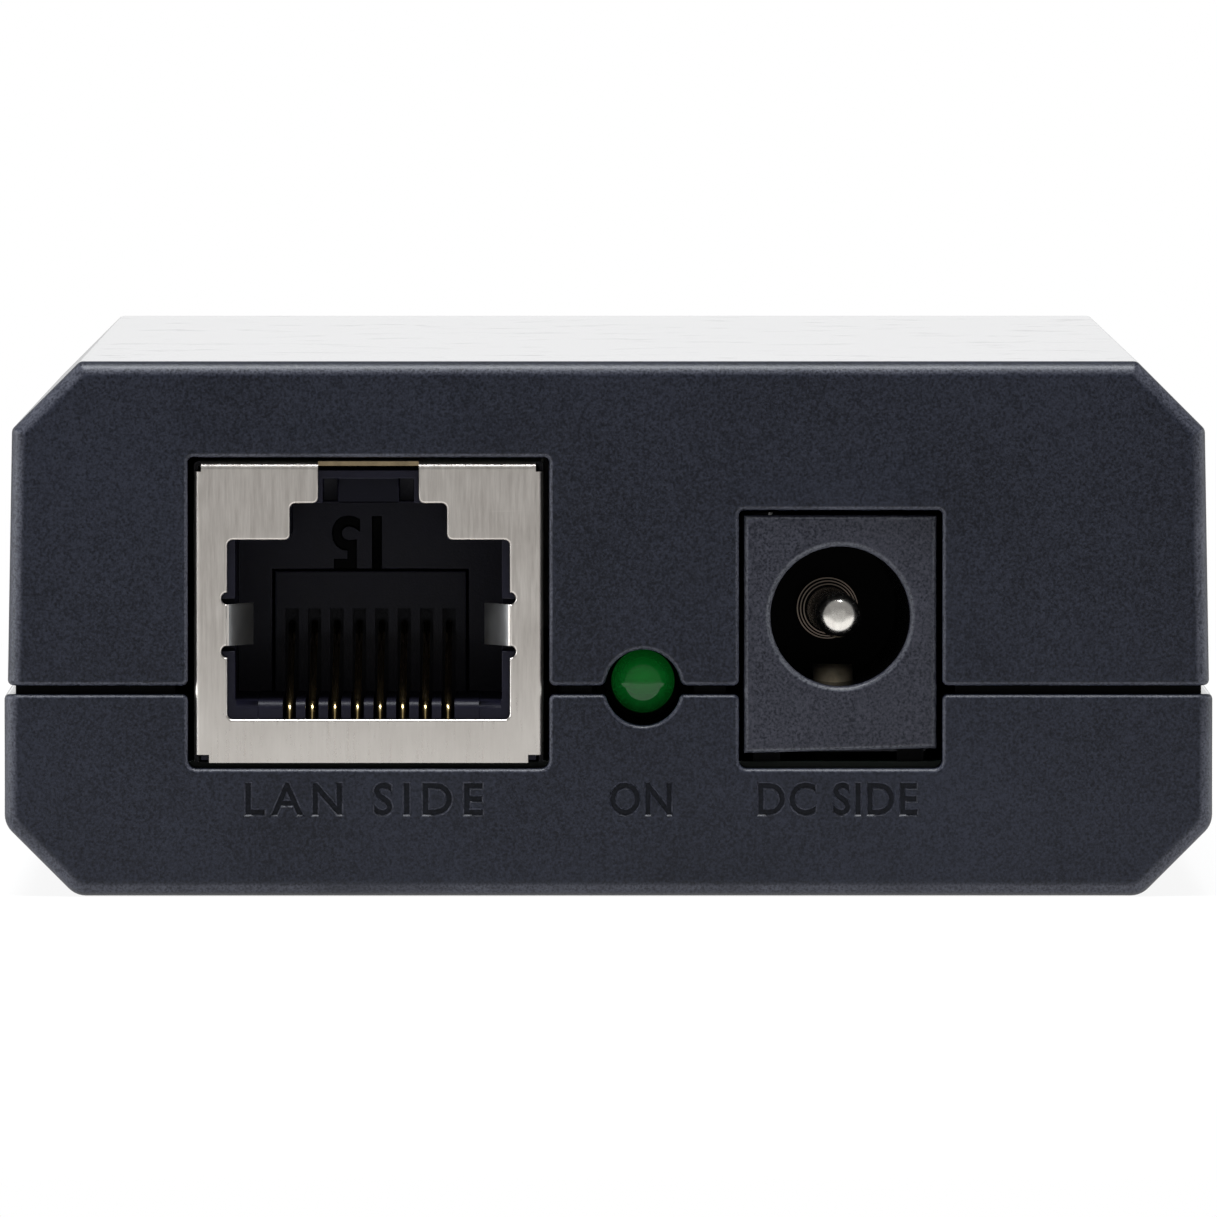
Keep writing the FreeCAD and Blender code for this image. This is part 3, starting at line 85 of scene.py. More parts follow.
class Shader:
    """An owner's node tree, emptied, with short ways to add the nodes that the finishes need."""

    def __init__(self, owner):
        self.owner = owner
        owner.use_nodes = True
        self.tree = owner.node_tree
        self.tree.nodes.clear()

    def put(self, value, socket):
        """Link a socket's value, or set a plain one."""
        if isinstance(value, bpy.types.NodeSocket):
            self.tree.links.new(value, socket)
        else:
            socket.default_value = value

    def add(self, kind, **inputs):
        """A new node's outputs. Its inputs are given by name."""
        node = self.tree.nodes.new("ShaderNode" + kind)
        for name, value in inputs.items():
            self.put(value, node.inputs[name.replace("_", " ")])
        return node.outputs

    def maths(self, operation, *values):
        node = self.tree.nodes.new("ShaderNodeMath")
        node.operation = operation
        for value, socket in zip(values, node.inputs):
            self.put(value, socket)
        return node.outputs[0]

    def plus(self, first, *others):
        for other in others:
            first = self.maths("ADD", first, other)
        return first

    def times(self, first, *others):
        for other in others:
            first = self.maths("MULTIPLY", first, other)
        return first

    def ramp(self, value, start, end, low=0.0, high=1.0):
        """Low where the value is at its start, high where it is at its end, and level beyond."""
        return self.add("MapRange", Value=value, From_Min=start, From_Max=end, To_Min=low, To_Max=high)[0]

    def noise(self, point, scale, detail, roughness=0.5):
        return self.add("TexNoise", Vector=point, Scale=scale, Detail=detail, Roughness=roughness)["Fac"]

    def here(self):
        return self.add("TexCoord")["Object"]

    def split(self, vector):
        return self.add("SeparateXYZ", Vector=vector)

    def blend(self, share, low, high):
        """A colour between two others, each of them three numbers or a socket."""
        node = self.tree.nodes.new("ShaderNodeMix")
        node.data_type = "RGBA"
        self.put(share, node.inputs["Factor"])
        for value, socket in zip((low, high), node.inputs[6:8]):
            self.put(value if isinstance(value, bpy.types.NodeSocket) else (*value, 1.0), socket)
        return node.outputs[2]

    def surface(self, **inputs):
        """The tree's owner, once it is closed with one surface."""
        self.add("OutputMaterial", Surface=self.add("BsdfPrincipled", **inputs)[0])
        return self.owner


def place_mesh(bm, name):
    mesh = bpy.data.meshes.new(name)
    bm.to_mesh(mesh)
    bm.free()
    item = bpy.data.objects.new(name, mesh)
    bpy.context.collection.objects.link(item)
    return item


bpy.context.scene.world = bpy.data.worlds.new("studio_surround")
sky = Shader(bpy.context.scene.world)
toward = sky.split(sky.add("TexCoord")["Generated"])
backdrop = sky.times(sky.ramp(toward["Y"], *BACKDROP_SIDE), sky.ramp(toward["Z"], *BACKDROP_RISE))
mirrored = sky.plus(sky.times(backdrop, BACKDROP - ROOM_MIRRORED), ROOM_MIRRORED)
path = sky.add("LightPath")
seen = path["Is Camera Ray"]
in_gloss = sky.maths("MAXIMUM", path["Is Glossy Ray"], path["Is Transmission Ray"])
lighting = sky.maths("SUBTRACT", 1.0, sky.maths("MAXIMUM", seen, in_gloss))
strength = sky.plus(seen, sky.times(in_gloss, mirrored), sky.times(lighting, ROOM_LIGHT))
sky.add("OutputWorld", Surface=sky.add("Background", Color=WHITE, Strength=strength)[0])

paint = Shader(bpy.data.materials.new("white_table_paint"))
spot = paint.split(paint.here())
reach = paint.maths("MAXIMUM", paint.maths("ABSOLUTE", spot["X"]), paint.maths("ABSOLUTE", spot["Y"]))
path = paint.add("LightPath")
seen = paint.times(path["Is Camera Ray"], paint.ramp(reach, *TABLE_NEAR, TABLE_NEAR_SHARE, 1.0))
mirrored = paint.times(path["Is Glossy Ray"], paint.ramp(reach, *TABLE_BRIGHT, 1.0, TABLE_FAR))
glow = paint.add("Emission", Color=WHITE, Strength=paint.maths("MAXIMUM", path["Is Camera Ray"], mirrored))
lit = paint.add("BsdfDiffuse", Color=TABLE_GREY)
mixed = paint.tree.nodes.new("ShaderNodeMixShader")
sources = (paint.maths("MAXIMUM", seen, path["Is Glossy Ray"]), lit[0], glow[0])
for source, socket in zip(sources, mixed.inputs):
    paint.put(source, socket)
paint.add("OutputMaterial", Surface=mixed.outputs[0])
table_top = bmesh.new()
bmesh.ops.create_grid(table_top, x_segments=1, y_segments=1, size=TABLE_SIZE / 2)
table = place_mesh(table_top, "white_table")
table.location.z = -TABLE_DROP * MM
table.data.materials.append(paint.owner)

for name, (place, width, height, power) in LAMPS.items():
    lamp_data = bpy.data.lights.new(name, "AREA")
    lamp_data.shape = "RECTANGLE"
    lamp_data.size, lamp_data.size_y = width * MM, height * MM
    lamp_data.energy = power
    lamp_data.color = LAMP_TINT
    stand(name, lamp_data, Vector(place) * MM)

# The lower shell is a tray of injection-moulded black plastic. Its outside has a fine grain from
# the mould, its rims are rounded, and short words are cut into its front below the openings. A
# tongue along its edge goes up into the upper shell, which rests on a low rib beside it.


def corners(node):
    """The two corners of a node's box in mm, to a hundredth."""
    return [[round(value / MM, 2) for value in corner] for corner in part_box(node)]


def centre_x(node):
    low, high = corners(node)
    return round((low[0] + high[0]) / 2, 2)


HALF_WIDTH, HALF_LENGTH = corners("lower_shell")[1][:2]
CASE_HEIGHT = corners("upper_shell")[1][2]
BOARD_FOOT, BOARD_TOP = (corner[2] for corner in corners("circuit_board"))
DATA_X, LAMP_X, POWER_X = centre_x("data_out_jack_shield"), centre_x("power_led_lens"), 10.41
NEAR = 1e-3
PAST = 1
LOWER_BEVEL, LOWER_ROUND = 3.2, 1.1
LOWER_EDGE, UPPER_EDGE = 9.08, 9.46
WALL = 1.8
INNER_END, INNER_SIDE = HALF_LENGTH - WALL, HALF_WIDTH - WALL
OFFSET_CORNER = 2 - math.sqrt(2)
END_ROUND, RIM_ROUND, SMALLEST_ROUND = 0.75, 0.22, 0.12
OPENING_FOOT_ROUND, OPENING_TOP_ROUND = 0.35, 0.2
SEAM_CORNER = 0.28
JACK_OPENING = (8.09, 5.75, 19.70)
POWER_OPENING = (4.55, 5.75, 17.33)
LAMP_HOLE_Z, LAMP_HOLE_RADIUS, LAMP_HOLE_CORNER = 9.37, 1.70, 0.24
TONGUE, TONGUE_RISE, TONGUE_ROOM, TONGUE_END_GAP = 0.85, 1.5, 0.12, 0.6
TONGUE_ROOT, TONGUE_EASE = 0.3, 0.15
SEAT_REACH, SEAT_LAP, SEAT_GAP = 26.6, 0.1, 0.02
SCREWS = ((-21.39, -33.5), (21.39, 33.5))
POSTS = ((21.39, -33.5), (-21.39, 33.5))
FOOT_BOSS, POST_HALF = 3.1, 2.0
SCREW_SEAT, SCREW_HEAD_ROOM, SCREW_ROOM, SCREW_HOLE_EASE = 2.0, 2.25, 1.3, 0.12
LEDGES, LEDGE_HALF, LEDGE_WIDTH = 11.0, 2.5, 1.6
# word, middle, width and spacing
WORDS = (("LAN SIDE", -10.96, 10.6, 1.35), ("ON", 1.45, 2.7, 1.1), ("DC SIDE", 10.28, 7.08, 1.1))
WORD_Z, WORD_HEIGHT, WORD_DEPTH, WORD_WEIGHT = 4.38, 1.41, 0.14, 0.02
LETTER_BEVEL = 0.07
# features in a metre
SPECKS, CLOUDS, SMUDGES = 8500, 130, 210
GRAIN_HEIGHT = 0.02


def case_plastic(name, pale, dark, edge_wear_and_highlight_colour, grain, specular=0.3):
    """Black plastic with a spark-eroded grain, painted paler on the rounded edges around its ends, partly as
    wear and partly as a painted highlight.

    Close to edge-on it mirrors more sharply."""
    shader = Shader(bpy.data.materials.new(name))
    point = shader.here()
    specks = shader.noise(point, SPECKS, 3, 0.65)
    smudges = shader.noise(point, SMUDGES, 5, 0.7)
    level = shader.plus(shader.times(specks, 0.8), shader.times(shader.noise(point, CLOUDS, 3), 0.2))
    normal = shader.split(shader.add("TexCoord")["Normal"])
    turned = shader.maths("ABSOLUTE", normal["Y"])
    # Paler edges: partly wear, partly a painted highlight on the rounded edges around the ends.
    edge_wear_and_highlight = shader.times(
        shader.ramp(turned, 0.99, 0.93), shader.ramp(turned, 0.3, 0.5), shader.ramp(normal["Z"], 0.74, 0.66),
        shader.ramp(smudges, 0.35, 0.6, 0.45, 1.0), shader.ramp(specks, 0.38, 0.6, 0.25, 1.0))
    colour = shader.blend(edge_wear_and_highlight, shader.blend(shader.ramp(level, 0.38, 0.62), dark, pale), edge_wear_and_highlight_colour)
    facing = shader.ramp(shader.add("LayerWeight", Blend=0.5)["Facing"], 0.8, 0.96, 1.0, 0.0)
    gloss = shader.plus(shader.times(shader.ramp(specks, 0.3, 0.7, 0.24, 0.36), facing),
                        shader.ramp(smudges, 0.56, 0.72, 0.1, 0.15))
    depth = shader.times(facing, grain)
    relief = shader.add("Bump", Height=specks, Strength=depth, Distance=GRAIN_HEIGHT * MM)
    return shader.surface(Base_Color=colour, Roughness=gloss, Normal=relief[0], Specular_IOR_Level=specular)


# Paler colour for the rounded edges: partly wear, partly a painted highlight.
EDGE_WEAR_AND_HIGHLIGHT = (0.05, 0.052, 0.067)
CASE_PLASTIC = case_plastic("case_plastic", (0.0115, 0.014, 0.025), (0.001, 0.002, 0.006), EDGE_WEAR_AND_HIGHLIGHT, 0.7)
# Darker plastic for the floors of the cut words: painted shade in the recesses.
WORD_FLOOR_SHADE = case_plastic("word_floor_painted_shade", (0.006, 0.007, 0.012), (0.001, 0.002, 0.004), EDGE_WEAR_AND_HIGHLIGHT,
                            0.2, 0.15)
# Near-black plastic painted where shade falls, inside parts and in the gaps between them.
PAINTED_SHADE_PLASTIC = case_plastic("painted_shade_plastic", (0.002, 0.002, 0.003), (0.001, 0.001, 0.001),
                              (0.002, 0.002, 0.002), 0.0, 0.05)


def turns(sides):
    return [2 * math.pi * k / sides for k in range(sides)]


def quarter(steps):
    return [math.pi / 2 * k / steps for k in range(steps + 1)]


def prism(points, start, end, axis="Y"):
    """A closed solid from an outline, drawn along an axis from one level to another."""
    bm = bmesh.new()
    place = {"X": lambda a, b, level: (level, a, b), "Y": lambda a, b, level: (a, level, b),
             "Z": lambda a, b, level: (a, b, level)}[axis]
    rows = [[bm.verts.new(place(a, b, level)) for a, b in points] for level in (start, end)]
    bm.faces.new(rows[0])
    bm.faces.new(rows[1][::-1])
    for i in range(len(points)):
        bm.faces.new((rows[0][i], rows[0][i - 1], rows[1][i - 1], rows[1][i]))
    bmesh.ops.recalc_face_normals(bm, faces=bm.faces)
    return bm


def block(x0, x1, y0, y1, z0, z1):
    """A closed box between two places on each axis."""
    return prism([(x0, z0), (x1, z0), (x1, z1), (x0, z1)], y0, y1)


def slab(half, y0, y1, z0, z1, x=0):
    """A closed box that reaches as far to each side of x."""
    return block(x - half, x + half, y0, y1, z0, z1)


def bar(across, up, radius, start, end, axis="Y", sides=96):
    """A closed round bar along an axis, from start to end."""
    ring = [(across + radius * math.cos(a), up + radius * math.sin(a)) for a in turns(sides)]
    return prism(ring, start, end, axis)


def combine(base, operation, *others):
    """The base with the other solids joined to it or cut from it, one by one."""
    body = place_mesh(base, "body")
    for other in others:
        tool = place_mesh(other, "tool")
        step = body.modifiers.new("step", "BOOLEAN")
        step.operation = operation
        step.solver = "EXACT"
        step.object = tool
        shape = bpy.data.meshes.new_from_object(body.evaluated_get(bpy.context.evaluated_depsgraph_get()))
        body.modifiers.clear()
        body.data = shape
        bpy.data.objects.remove(tool)
    result = bmesh.new()
    result.from_mesh(body.data)
    bpy.data.objects.remove(body)
    bmesh.ops.remove_doubles(result, verts=result.verts, dist=1e-5)
    bmesh.ops.dissolve_limit(result, angle_limit=math.radians(0.2), verts=result.verts, edges=result.edges)
    return result


def ease(bm, width, segments, chosen):
    """Round the edges that the test chooses."""
    edges = [edge for edge in bm.edges if len(edge.link_faces) == 2 and chosen(edge)]
    bmesh.ops.bevel(bm, geom=edges, offset=width, offset_type="OFFSET", segments=segments, profile=0.5,
                    affect="EDGES", clamp_overlap=False)


def middle(edge):
    return (edge.verts[0].co + edge.verts[1].co) / 2


def in_front(edge):
    """Whether an edge lies in the plane of the mouth, in a jack's own frame."""
    return max(vert.co.y for vert in edge.verts) < NEAR


def mark(bm, index, chosen):
    """Give the faces whose middle and normal pass a test another of the piece's materials."""
    for face in bm.faces:
        if chosen(face.calc_center_median(), face.normal):
            face.material_index = index


def runs_along(edge, axis):
    run = (edge.verts[1].co - edge.verts[0].co).normalized()
    return abs(run["XYZ".index(axis)]) > 0.999


def fit(bm, name, slot, node, *materials, move=Matrix.Scale(MM, 4), smooth=35):
    """Put a finished shape in the scene, in place of its plain solid."""
    bm.transform(move)
    item = place_mesh(bm, name)
    for material in materials:
        item.data.materials.append(material)
    item.data.shade_smooth()
    item.data.set_sharp_from_angle(angle=math.radians(smooth))
    item.modifiers.new("even_shading", "WEIGHTED_NORMAL").keep_sharp = True
    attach(item, "root")
    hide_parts(node)


def corner_arc(corner, before, after, radius, steps=5):
    """The points of an arc that rounds a corner between two directions that leave it."""
    half = before.angle(after) / 2
    centre = corner + (before + after).normalized() * radius / math.sin(half)
    start = corner + before * radius / math.tan(half) - centre
    sweep = start.angle_signed(corner + after * radius / math.tan(half) - centre)
    points = []
    for step in range(steps + 1):
        spoke = start.copy()
        spoke.rotate(Matrix.Rotation(-sweep * step / steps, 2))
        points.append(centre + spoke)
    return points


def rounded(points, radii):
    """An outline with its corners rounded, with one radius for each corner."""
    result = []
    for i, (point, radius) in enumerate(zip(points, radii)):
        here = Vector(point)
        if radius:
            before = (Vector(points[i - 1]) - here).normalized()
            after = (Vector(points[(i + 1) % len(points)]) - here).normalized()
            result += [tuple(p) for p in corner_arc(here, before, after, radius, 4)]
        else:
            result.append(point)
    return result


def section(points, inward, rounds, level):
    """A shell's outline moved inward and with rounded corners, still starting on the seam."""
    lines = []
    for a, b in zip(points, points[1:]):
        a, b = Vector(a), Vector(b)
        run = (b - a).normalized()
        outward = Vector((run.y, -run.x))
        outward *= math.copysign(1, outward.dot(a - Vector((0, level))))
        lines.append((a - outward * inward, run))
    first, run = lines[0]
    corners = [first + run * (level - first.y) / run.y]
    for (p, d), (q, e) in zip(lines, lines[1:]):
        corners.append(p + d * (q - p).cross(e) / d.cross(e))
    right = corners[:1]
    for i, (corner, radius) in enumerate(zip(corners[1:], rounds), 1):
        ahead = (corners[i + 1] - corner).normalized() if i + 1 < len(corners) else Vector((-1, 0))
        right += corner_arc(corner, (corners[i - 1] - corner).normalized(), ahead,
                            max(radius - inward * 0.6, SMALLEST_ROUND))
    return [(p.x, p.y) for p in right] + [(-p.x, p.y) for p in reversed(right)]


def shell_solid(points, rounds, level):
    """A closed solid with the shell's outline, rounded inward at both ends."""
    near_end = [(HALF_LENGTH - END_ROUND * (1 - math.cos(a)), END_ROUND * (1 - math.sin(a)))
                for a in quarter(8)]
    rows = [(-y, inward) for y, inward in near_end] + near_end[::-1]
    bm = bmesh.new()
    rings = [[bm.verts.new((x, y, z)) for x, z in section(points, inward, rounds, level)]
             for y, inward in rows]
    for ring, after in zip(rings, rings[1:]):
        for k in range(len(ring) - 1):
            bm.faces.new((ring[k], ring[k + 1], after[k + 1], after[k]))
    bm.faces.new(rings[0])
    bm.faces.new(rings[-1][::-1])
    bm.faces.new([ring[0] for ring in rings] + [ring[-1] for ring in reversed(rings)])
    bmesh.ops.recalc_face_normals(bm, faces=bm.faces)
    return bm


def lamp_opening(level, side, corner):
    """A cutter for the lamp's half of its round hole, which turns softly into the seam."""
    rise = side * (level - LAMP_HOLE_Z)
    across = math.sqrt((LAMP_HOLE_RADIUS + corner) ** 2 - (rise + corner) ** 2)
    meets = math.atan2(rise + corner, across)
    outline = [(across, rise - PAST)]
    outline += [(across - corner * math.sin(a), rise + corner - corner * math.cos(a))
                for a in ((math.pi / 2 - meets) * k / 5 for k in range(6))]
    outline += [(LAMP_HOLE_RADIUS * math.cos(a), LAMP_HOLE_RADIUS * math.sin(a))
                for a in (meets + (math.pi / 2 - meets) * k / 16 for k in range(1, 17))]
    outline += [(-x, up) for x, up in outline[-2::-1]]
    return prism([(LAMP_X + x, LAMP_HOLE_Z + side * up) for x, up in outline], -HALF_LENGTH - PAST,
                 -INNER_END + PAST / 2)


def opening_cutters(low, high):
    """Cutters for the jacks' openings in both end walls, between two heights."""
    cutters = []
    for x, (half, foot, top), end in ((DATA_X, JACK_OPENING, -1), (POWER_X, POWER_OPENING, -1),
                                      (0, JACK_OPENING, 1)):
        y0, y1 = sorted((end * (HALF_LENGTH + PAST), end * (INNER_END - PAST / 2)))
        radii = [OPENING_FOOT_ROUND if foot > low else 0] * 2 + [OPENING_TOP_ROUND if top < high else 0] * 2
        foot, top = max(foot, low), min(top, high)
        outline = [(x - half, foot), (x + half, foot), (x + half, top), (x - half, top)]
        cutters.append(prism(rounded(outline, radii), y0, y1))
    return cutters


def ease_shell(bm, level, half_width):
    """Round the openings' corners at the seam, then their rims and the seam's outer edge."""
    def seam_corner(edge):
        point = middle(edge)
        return (runs_along(edge, "Y") and abs(point.z - level) < NEAR and abs(point.x) < INNER_SIDE
                and abs(point.y) > INNER_END and abs(point.x - LAMP_X) > LAMP_HOLE_RADIUS + PAST)

    def rim(edge):
        point = middle(edge)
        normals = [face.normal for face in edge.link_faces]
        on_end = abs(abs(point.y) - HALF_LENGTH) < NEAR
        turns_in = any(abs(n.y) > 0.999 for n in normals) and any(abs(n.y) < 0.2 for n in normals)
        on_seam = (all(abs(v.co.z - level) < NEAR for v in edge.verts)
                   and sum(abs(n.z) > 0.999 for n in normals) == 1)
        inset = END_ROUND + 0.05
        outer = abs(point.x) > half_width - inset or abs(point.y) > HALF_LENGTH - inset
        return (on_end and turns_in) or (on_seam and outer)

    ease(bm, SEAM_CORNER, 5, seam_corner)
    ease(bm, RIM_ROUND, 3, rim)


def shade_inside(bm, low, high, index):
    """Give the faces inside a shell, and those on its seam, the near-black plastic of painted shade."""
    out = TONGUE + TONGUE_ROOM + 0.01
    mark(bm, index, lambda point, normal: LOWER_EDGE - NEAR < point.z < UPPER_EDGE + NEAR or (
        abs(point.x) < INNER_SIDE + out and abs(point.y) < INNER_END + out
        and low - 0.01 < point.z < high + 0.01))


def letters(words, height, width, depth, weight, spacing=1.0):
    """Words as solids about the XZ plane, one for each letter, with a bevelled floor.

    They are read from -Y, and the floor of a letter cut with one is at its depth."""
    curve = bpy.data.curves.new("words", "FONT")
    curve.body = words
    curve.space_character = spacing
    curve.resolution_u = 4
    item = bpy.data.objects.new("words", curve)
    bpy.context.collection.objects.link(item)
    flat = bpy.data.meshes.new_from_object(item.evaluated_get(bpy.context.evaluated_depsgraph_get()))
    across = [v.co.x for v in flat.vertices]
    up = [v.co.y for v in flat.vertices]
    scale = height / (max(up) - min(up))
    stretch = width / (max(across) - min(across))
    curve.extrude = (depth - LETTER_BEVEL) / scale
    curve.bevel_depth = LETTER_BEVEL / scale
    curve.bevel_resolution = 0
    curve.offset = weight / scale
    shape = bpy.data.meshes.new_from_object(item.evaluated_get(bpy.context.evaluated_depsgraph_get()))
    bpy.data.objects.remove(item)
    bm = bmesh.new()
    bm.from_mesh(shape)
    bmesh.ops.remove_doubles(bm, verts=bm.verts, dist=1e-6)
    centre = Vector(((max(across) + min(across)) / 2, (max(up) + min(up)) / 2, 0))
    bm.verts.index_update()
    bm.transform(Matrix.Rotation(math.pi / 2, 4, "X") @ Matrix.Diagonal((stretch, scale, scale, 1))
                 @ Matrix.Translation(-centre))
    solids = []
    while bm.verts:
        letter, found = set(), [next(iter(bm.verts))]
        while found:
            vert = found.pop()
            if vert not in letter:
                letter.add(vert)
                found += [edge.other_vert(vert) for edge in vert.link_edges]
        numbers = {vert.index for vert in letter}
        solid = bm.copy()
        solid.verts.ensure_lookup_table()
        others = [vert for vert in solid.verts if vert.index not in numbers]
        bmesh.ops.delete(solid, geom=others, context="VERTS")
        solids.append(solid)
        bmesh.ops.delete(bm, geom=list(letter), context="VERTS")
        bm.verts.index_update()
    return solids


knee = LOWER_BEVEL - WALL * OFFSET_CORNER
lower = shell_solid([(HALF_WIDTH, LOWER_EDGE), (HALF_WIDTH, LOWER_BEVEL), (HALF_WIDTH - LOWER_BEVEL, 0),
                     (LOWER_BEVEL - HALF_WIDTH, 0)], (LOWER_ROUND, LOWER_ROUND), LOWER_EDGE)
right = [(INNER_SIDE, LOWER_EDGE + PAST), (INNER_SIDE, WALL + knee), (INNER_SIDE - knee, WALL)]
tray = prism(right + [(-x, z) for x, z in reversed(right)], -INNER_END, INNER_END)
lower = combine(lower, "DIFFERENCE", tray, *opening_cutters(-PAST, LOWER_EDGE + PAST),
                lamp_opening(LOWER_EDGE, -1, LAMP_HOLE_CORNER))
ease_shell(lower, LOWER_EDGE, HALF_WIDTH)
out_side, out_end = INNER_SIDE + TONGUE, INNER_END + TONGUE
tongue = combine(slab(out_side, -out_end, out_end, LOWER_EDGE - TONGUE_ROOT, LOWER_EDGE + TONGUE_RISE),
                 "DIFFERENCE", slab(INNER_SIDE, -INNER_END, INNER_END, 0, CASE_HEIGHT))
ease(tongue, TONGUE_EASE, 2, lambda edge: min(v.co.z for v in edge.verts) > LOWER_EDGE + TONGUE_RISE / 2)
gaps = [slab(half + TONGUE_END_GAP, *sorted((0, end * (HALF_LENGTH + PAST))), 0, CASE_HEIGHT, x)
        for x, half, end in ((DATA_X, JACK_OPENING[0], -1), (POWER_X, POWER_OPENING[0], -1),
                             (LAMP_X, LAMP_HOLE_RADIUS, -1), (0, JACK_OPENING[0], 1))]
tongue = combine(tongue, "DIFFERENCE", *gaps)
seats = [block(*sorted((side * (out_side - SEAT_LAP), side * SEAT_REACH)), -out_end, out_end,
               LOWER_EDGE - TONGUE_ROOT, UPPER_EDGE - SEAT_GAP) for side in (-1, 1)]
stands = [bar(x, y, FOOT_BOSS, WALL / 2, BOARD_FOOT, "Z", 64) for x, y in SCREWS]
stands += [slab(POST_HALF, y - POST_HALF, y + POST_HALF, WALL / 2, BOARD_FOOT, x) for x, y in POSTS]
for side in (-1, 1):
    for y in (-LEDGES, LEDGES):
        root, tip = side * (INNER_SIDE + WALL / 2), side * (INNER_SIDE - LEDGE_WIDTH)
        foot = WALL + knee
        ledge = [(root, BOARD_FOOT), (tip, BOARD_FOOT), (tip, foot - LEDGE_WIDTH - WALL / 2), (root, foot)]
        stands.append(prism(ledge, y - LEDGE_HALF, y + LEDGE_HALF))
lower = combine(lower, "UNION", tongue, *seats, *stands)
lower = combine(lower, "DIFFERENCE",
                *[bar(x, y, SCREW_HEAD_ROOM, -PAST, SCREW_SEAT, "Z") for x, y in SCREWS],
                *[bar(x, y, SCREW_ROOM, 0, BOARD_TOP, "Z", 48) for x, y in SCREWS])
ease(lower, SCREW_HOLE_EASE, 2, lambda edge: abs(middle(edge).z) < NEAR and any(
    abs((middle(edge).xy - Vector(place)).length - SCREW_HEAD_ROOM) < 0.02 for place in SCREWS))
for words, x, width, spacing in WORDS:
    word = letters(words, WORD_HEIGHT, width, WORD_DEPTH, WORD_WEIGHT, spacing)
    for letter in word:
        letter.transform(Matrix.Translation((x, -HALF_LENGTH, WORD_Z)))
    lower = combine(lower, "DIFFERENCE", *word)
# The floors of the cut letters take the darker plastic of painted shade.
mark(lower, 1, lambda point, normal: normal.y < -0.99 and abs(point.z - WORD_Z) < WORD_HEIGHT
     and 0.05 < point.y + HALF_LENGTH < 2 * WORD_DEPTH)
shade_inside(lower, WALL, CASE_HEIGHT, 2)
fit(lower, "lower_case_shell", "shell_plastic", "lower_shell", CASE_PLASTIC, WORD_FLOOR_SHADE, PAINTED_SHADE_PLASTIC)

# The circuit board lies on the tray's bosses and ledges and carries everything else. It is green
# laminate, and each part soldered to it has the plain finish that such parts have.
BLOTCHES = (0.25, 0.75)
WELD_REACH = 0.002


def finish(name, colour, roughness, metallic=0.0, tone=0.15, tone_scale=0.6, grain=0.0, grain_scale=6.0,
           stretch=(1, 1, 1), rough_spread=0.06, specular=0.5):
    """A moulded or plated surface with blotches of tone, uneven gloss and a fine grain.

    Scales are in features per millimetre, and grain is the depth of the relief in millimetres."""
    shader = Shader(bpy.data.materials.new(name))
    point = shader.add("Mapping", Vector=shader.here(), Scale=[s / MM for s in stretch])[0]
    blotch = shader.noise(point, tone_scale, 4, 0.6)
    tones = [[min(1.0, c * change) for c in colour] for change in (1 - tone, 1 + tone)]
    relief = {}
    if grain:
        fine = shader.noise(point, grain_scale, 3, 0.6)
        relief["Normal"] = shader.add("Bump", Height=fine, Strength=1.0, Distance=grain * MM)[0]
    return shader.surface(
        Base_Color=shader.blend(shader.ramp(blotch, *BLOTCHES), *tones), Metallic=metallic,
        Roughness=shader.ramp(blotch, *BLOTCHES, roughness - rough_spread, roughness + rough_spread),
        Specular_IOR_Level=specular, **relief)


def dress(material, easing, *nodes):
    """Give solids that stay as they are a finish and slightly rounded edges."""
    for node in nodes:
        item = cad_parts[node]
        item.data.materials.clear()
        item.data.materials.append(material)
        if easing:
            weld = item.modifiers.new("weld", "WELD")
            weld.merge_threshold = WELD_REACH * MM
            bevel = item.modifiers.new("eased_edges", "BEVEL")
            bevel.width = easing * MM
            bevel.segments = 2
            bevel.limit_method = "ANGLE"
            bevel.angle_limit = math.radians(50)
            bevel.harden_normals = True


TINNED = finish("tinned_leads", (0.62, 0.62, 0.6), 0.3, metallic=1.0, tone=0.12)
BOARD_GREEN = finish("board_green", (0.003, 0.014, 0.008), 0.4, tone=0.25, tone_scale=0.8, grain=0.015)
dress(BOARD_GREEN, 0.06, "circuit_board")
dress(finish("package_black", (0.022, 0.022, 0.024), 0.5, grain=0.02), 0.12, "lan_transformer",
      "optocoupler", "output_diode", "power_switch", "pulse_controller", "pd_controller",
      "surge_suppressor", "bridge_rectifiers")
# The lamp's holder and leads, deep inside the case, take the near-black plastic of painted shade.
dress(PAINTED_SHADE_PLASTIC, 0.12, "power_led_holder", "power_led_leads")
dress(finish("ferrite_grey", (0.05, 0.048, 0.048), 0.55, tone=0.25, grain=0.03), 0.15,
      "power_transformer_core", "input_choke_core", "output_inductor")
dress(finish("bobbin_black", (0.018, 0.018, 0.02), 0.4, grain=0.01), 0.1, "power_transformer_bobbin",
      "input_capacitor_base")
dress(finish("transformer_tape", (0.55, 0.4, 0.08), 0.35, tone=0.1, grain=0.03, grain_scale=1.2,
             stretch=(0.3, 0.3, 2)), 0.4, "power_transformer_winding")
dress(finish("enamelled_copper", (0.55, 0.2, 0.08), 0.28, metallic=1.0, grain=0.12, grain_scale=1.4,
             stretch=(2, 0.05, 0.05)), 0.25, "input_choke_windings")
dress(TINNED, 0.04, "lan_transformer_leads", "power_transformer_pins")
dress(finish("capacitor_sleeve", (0.72, 0.73, 0.72), 0.3, metallic=1.0, tone=0.06, grain=0.01), 0.0,
      "input_capacitor_can")
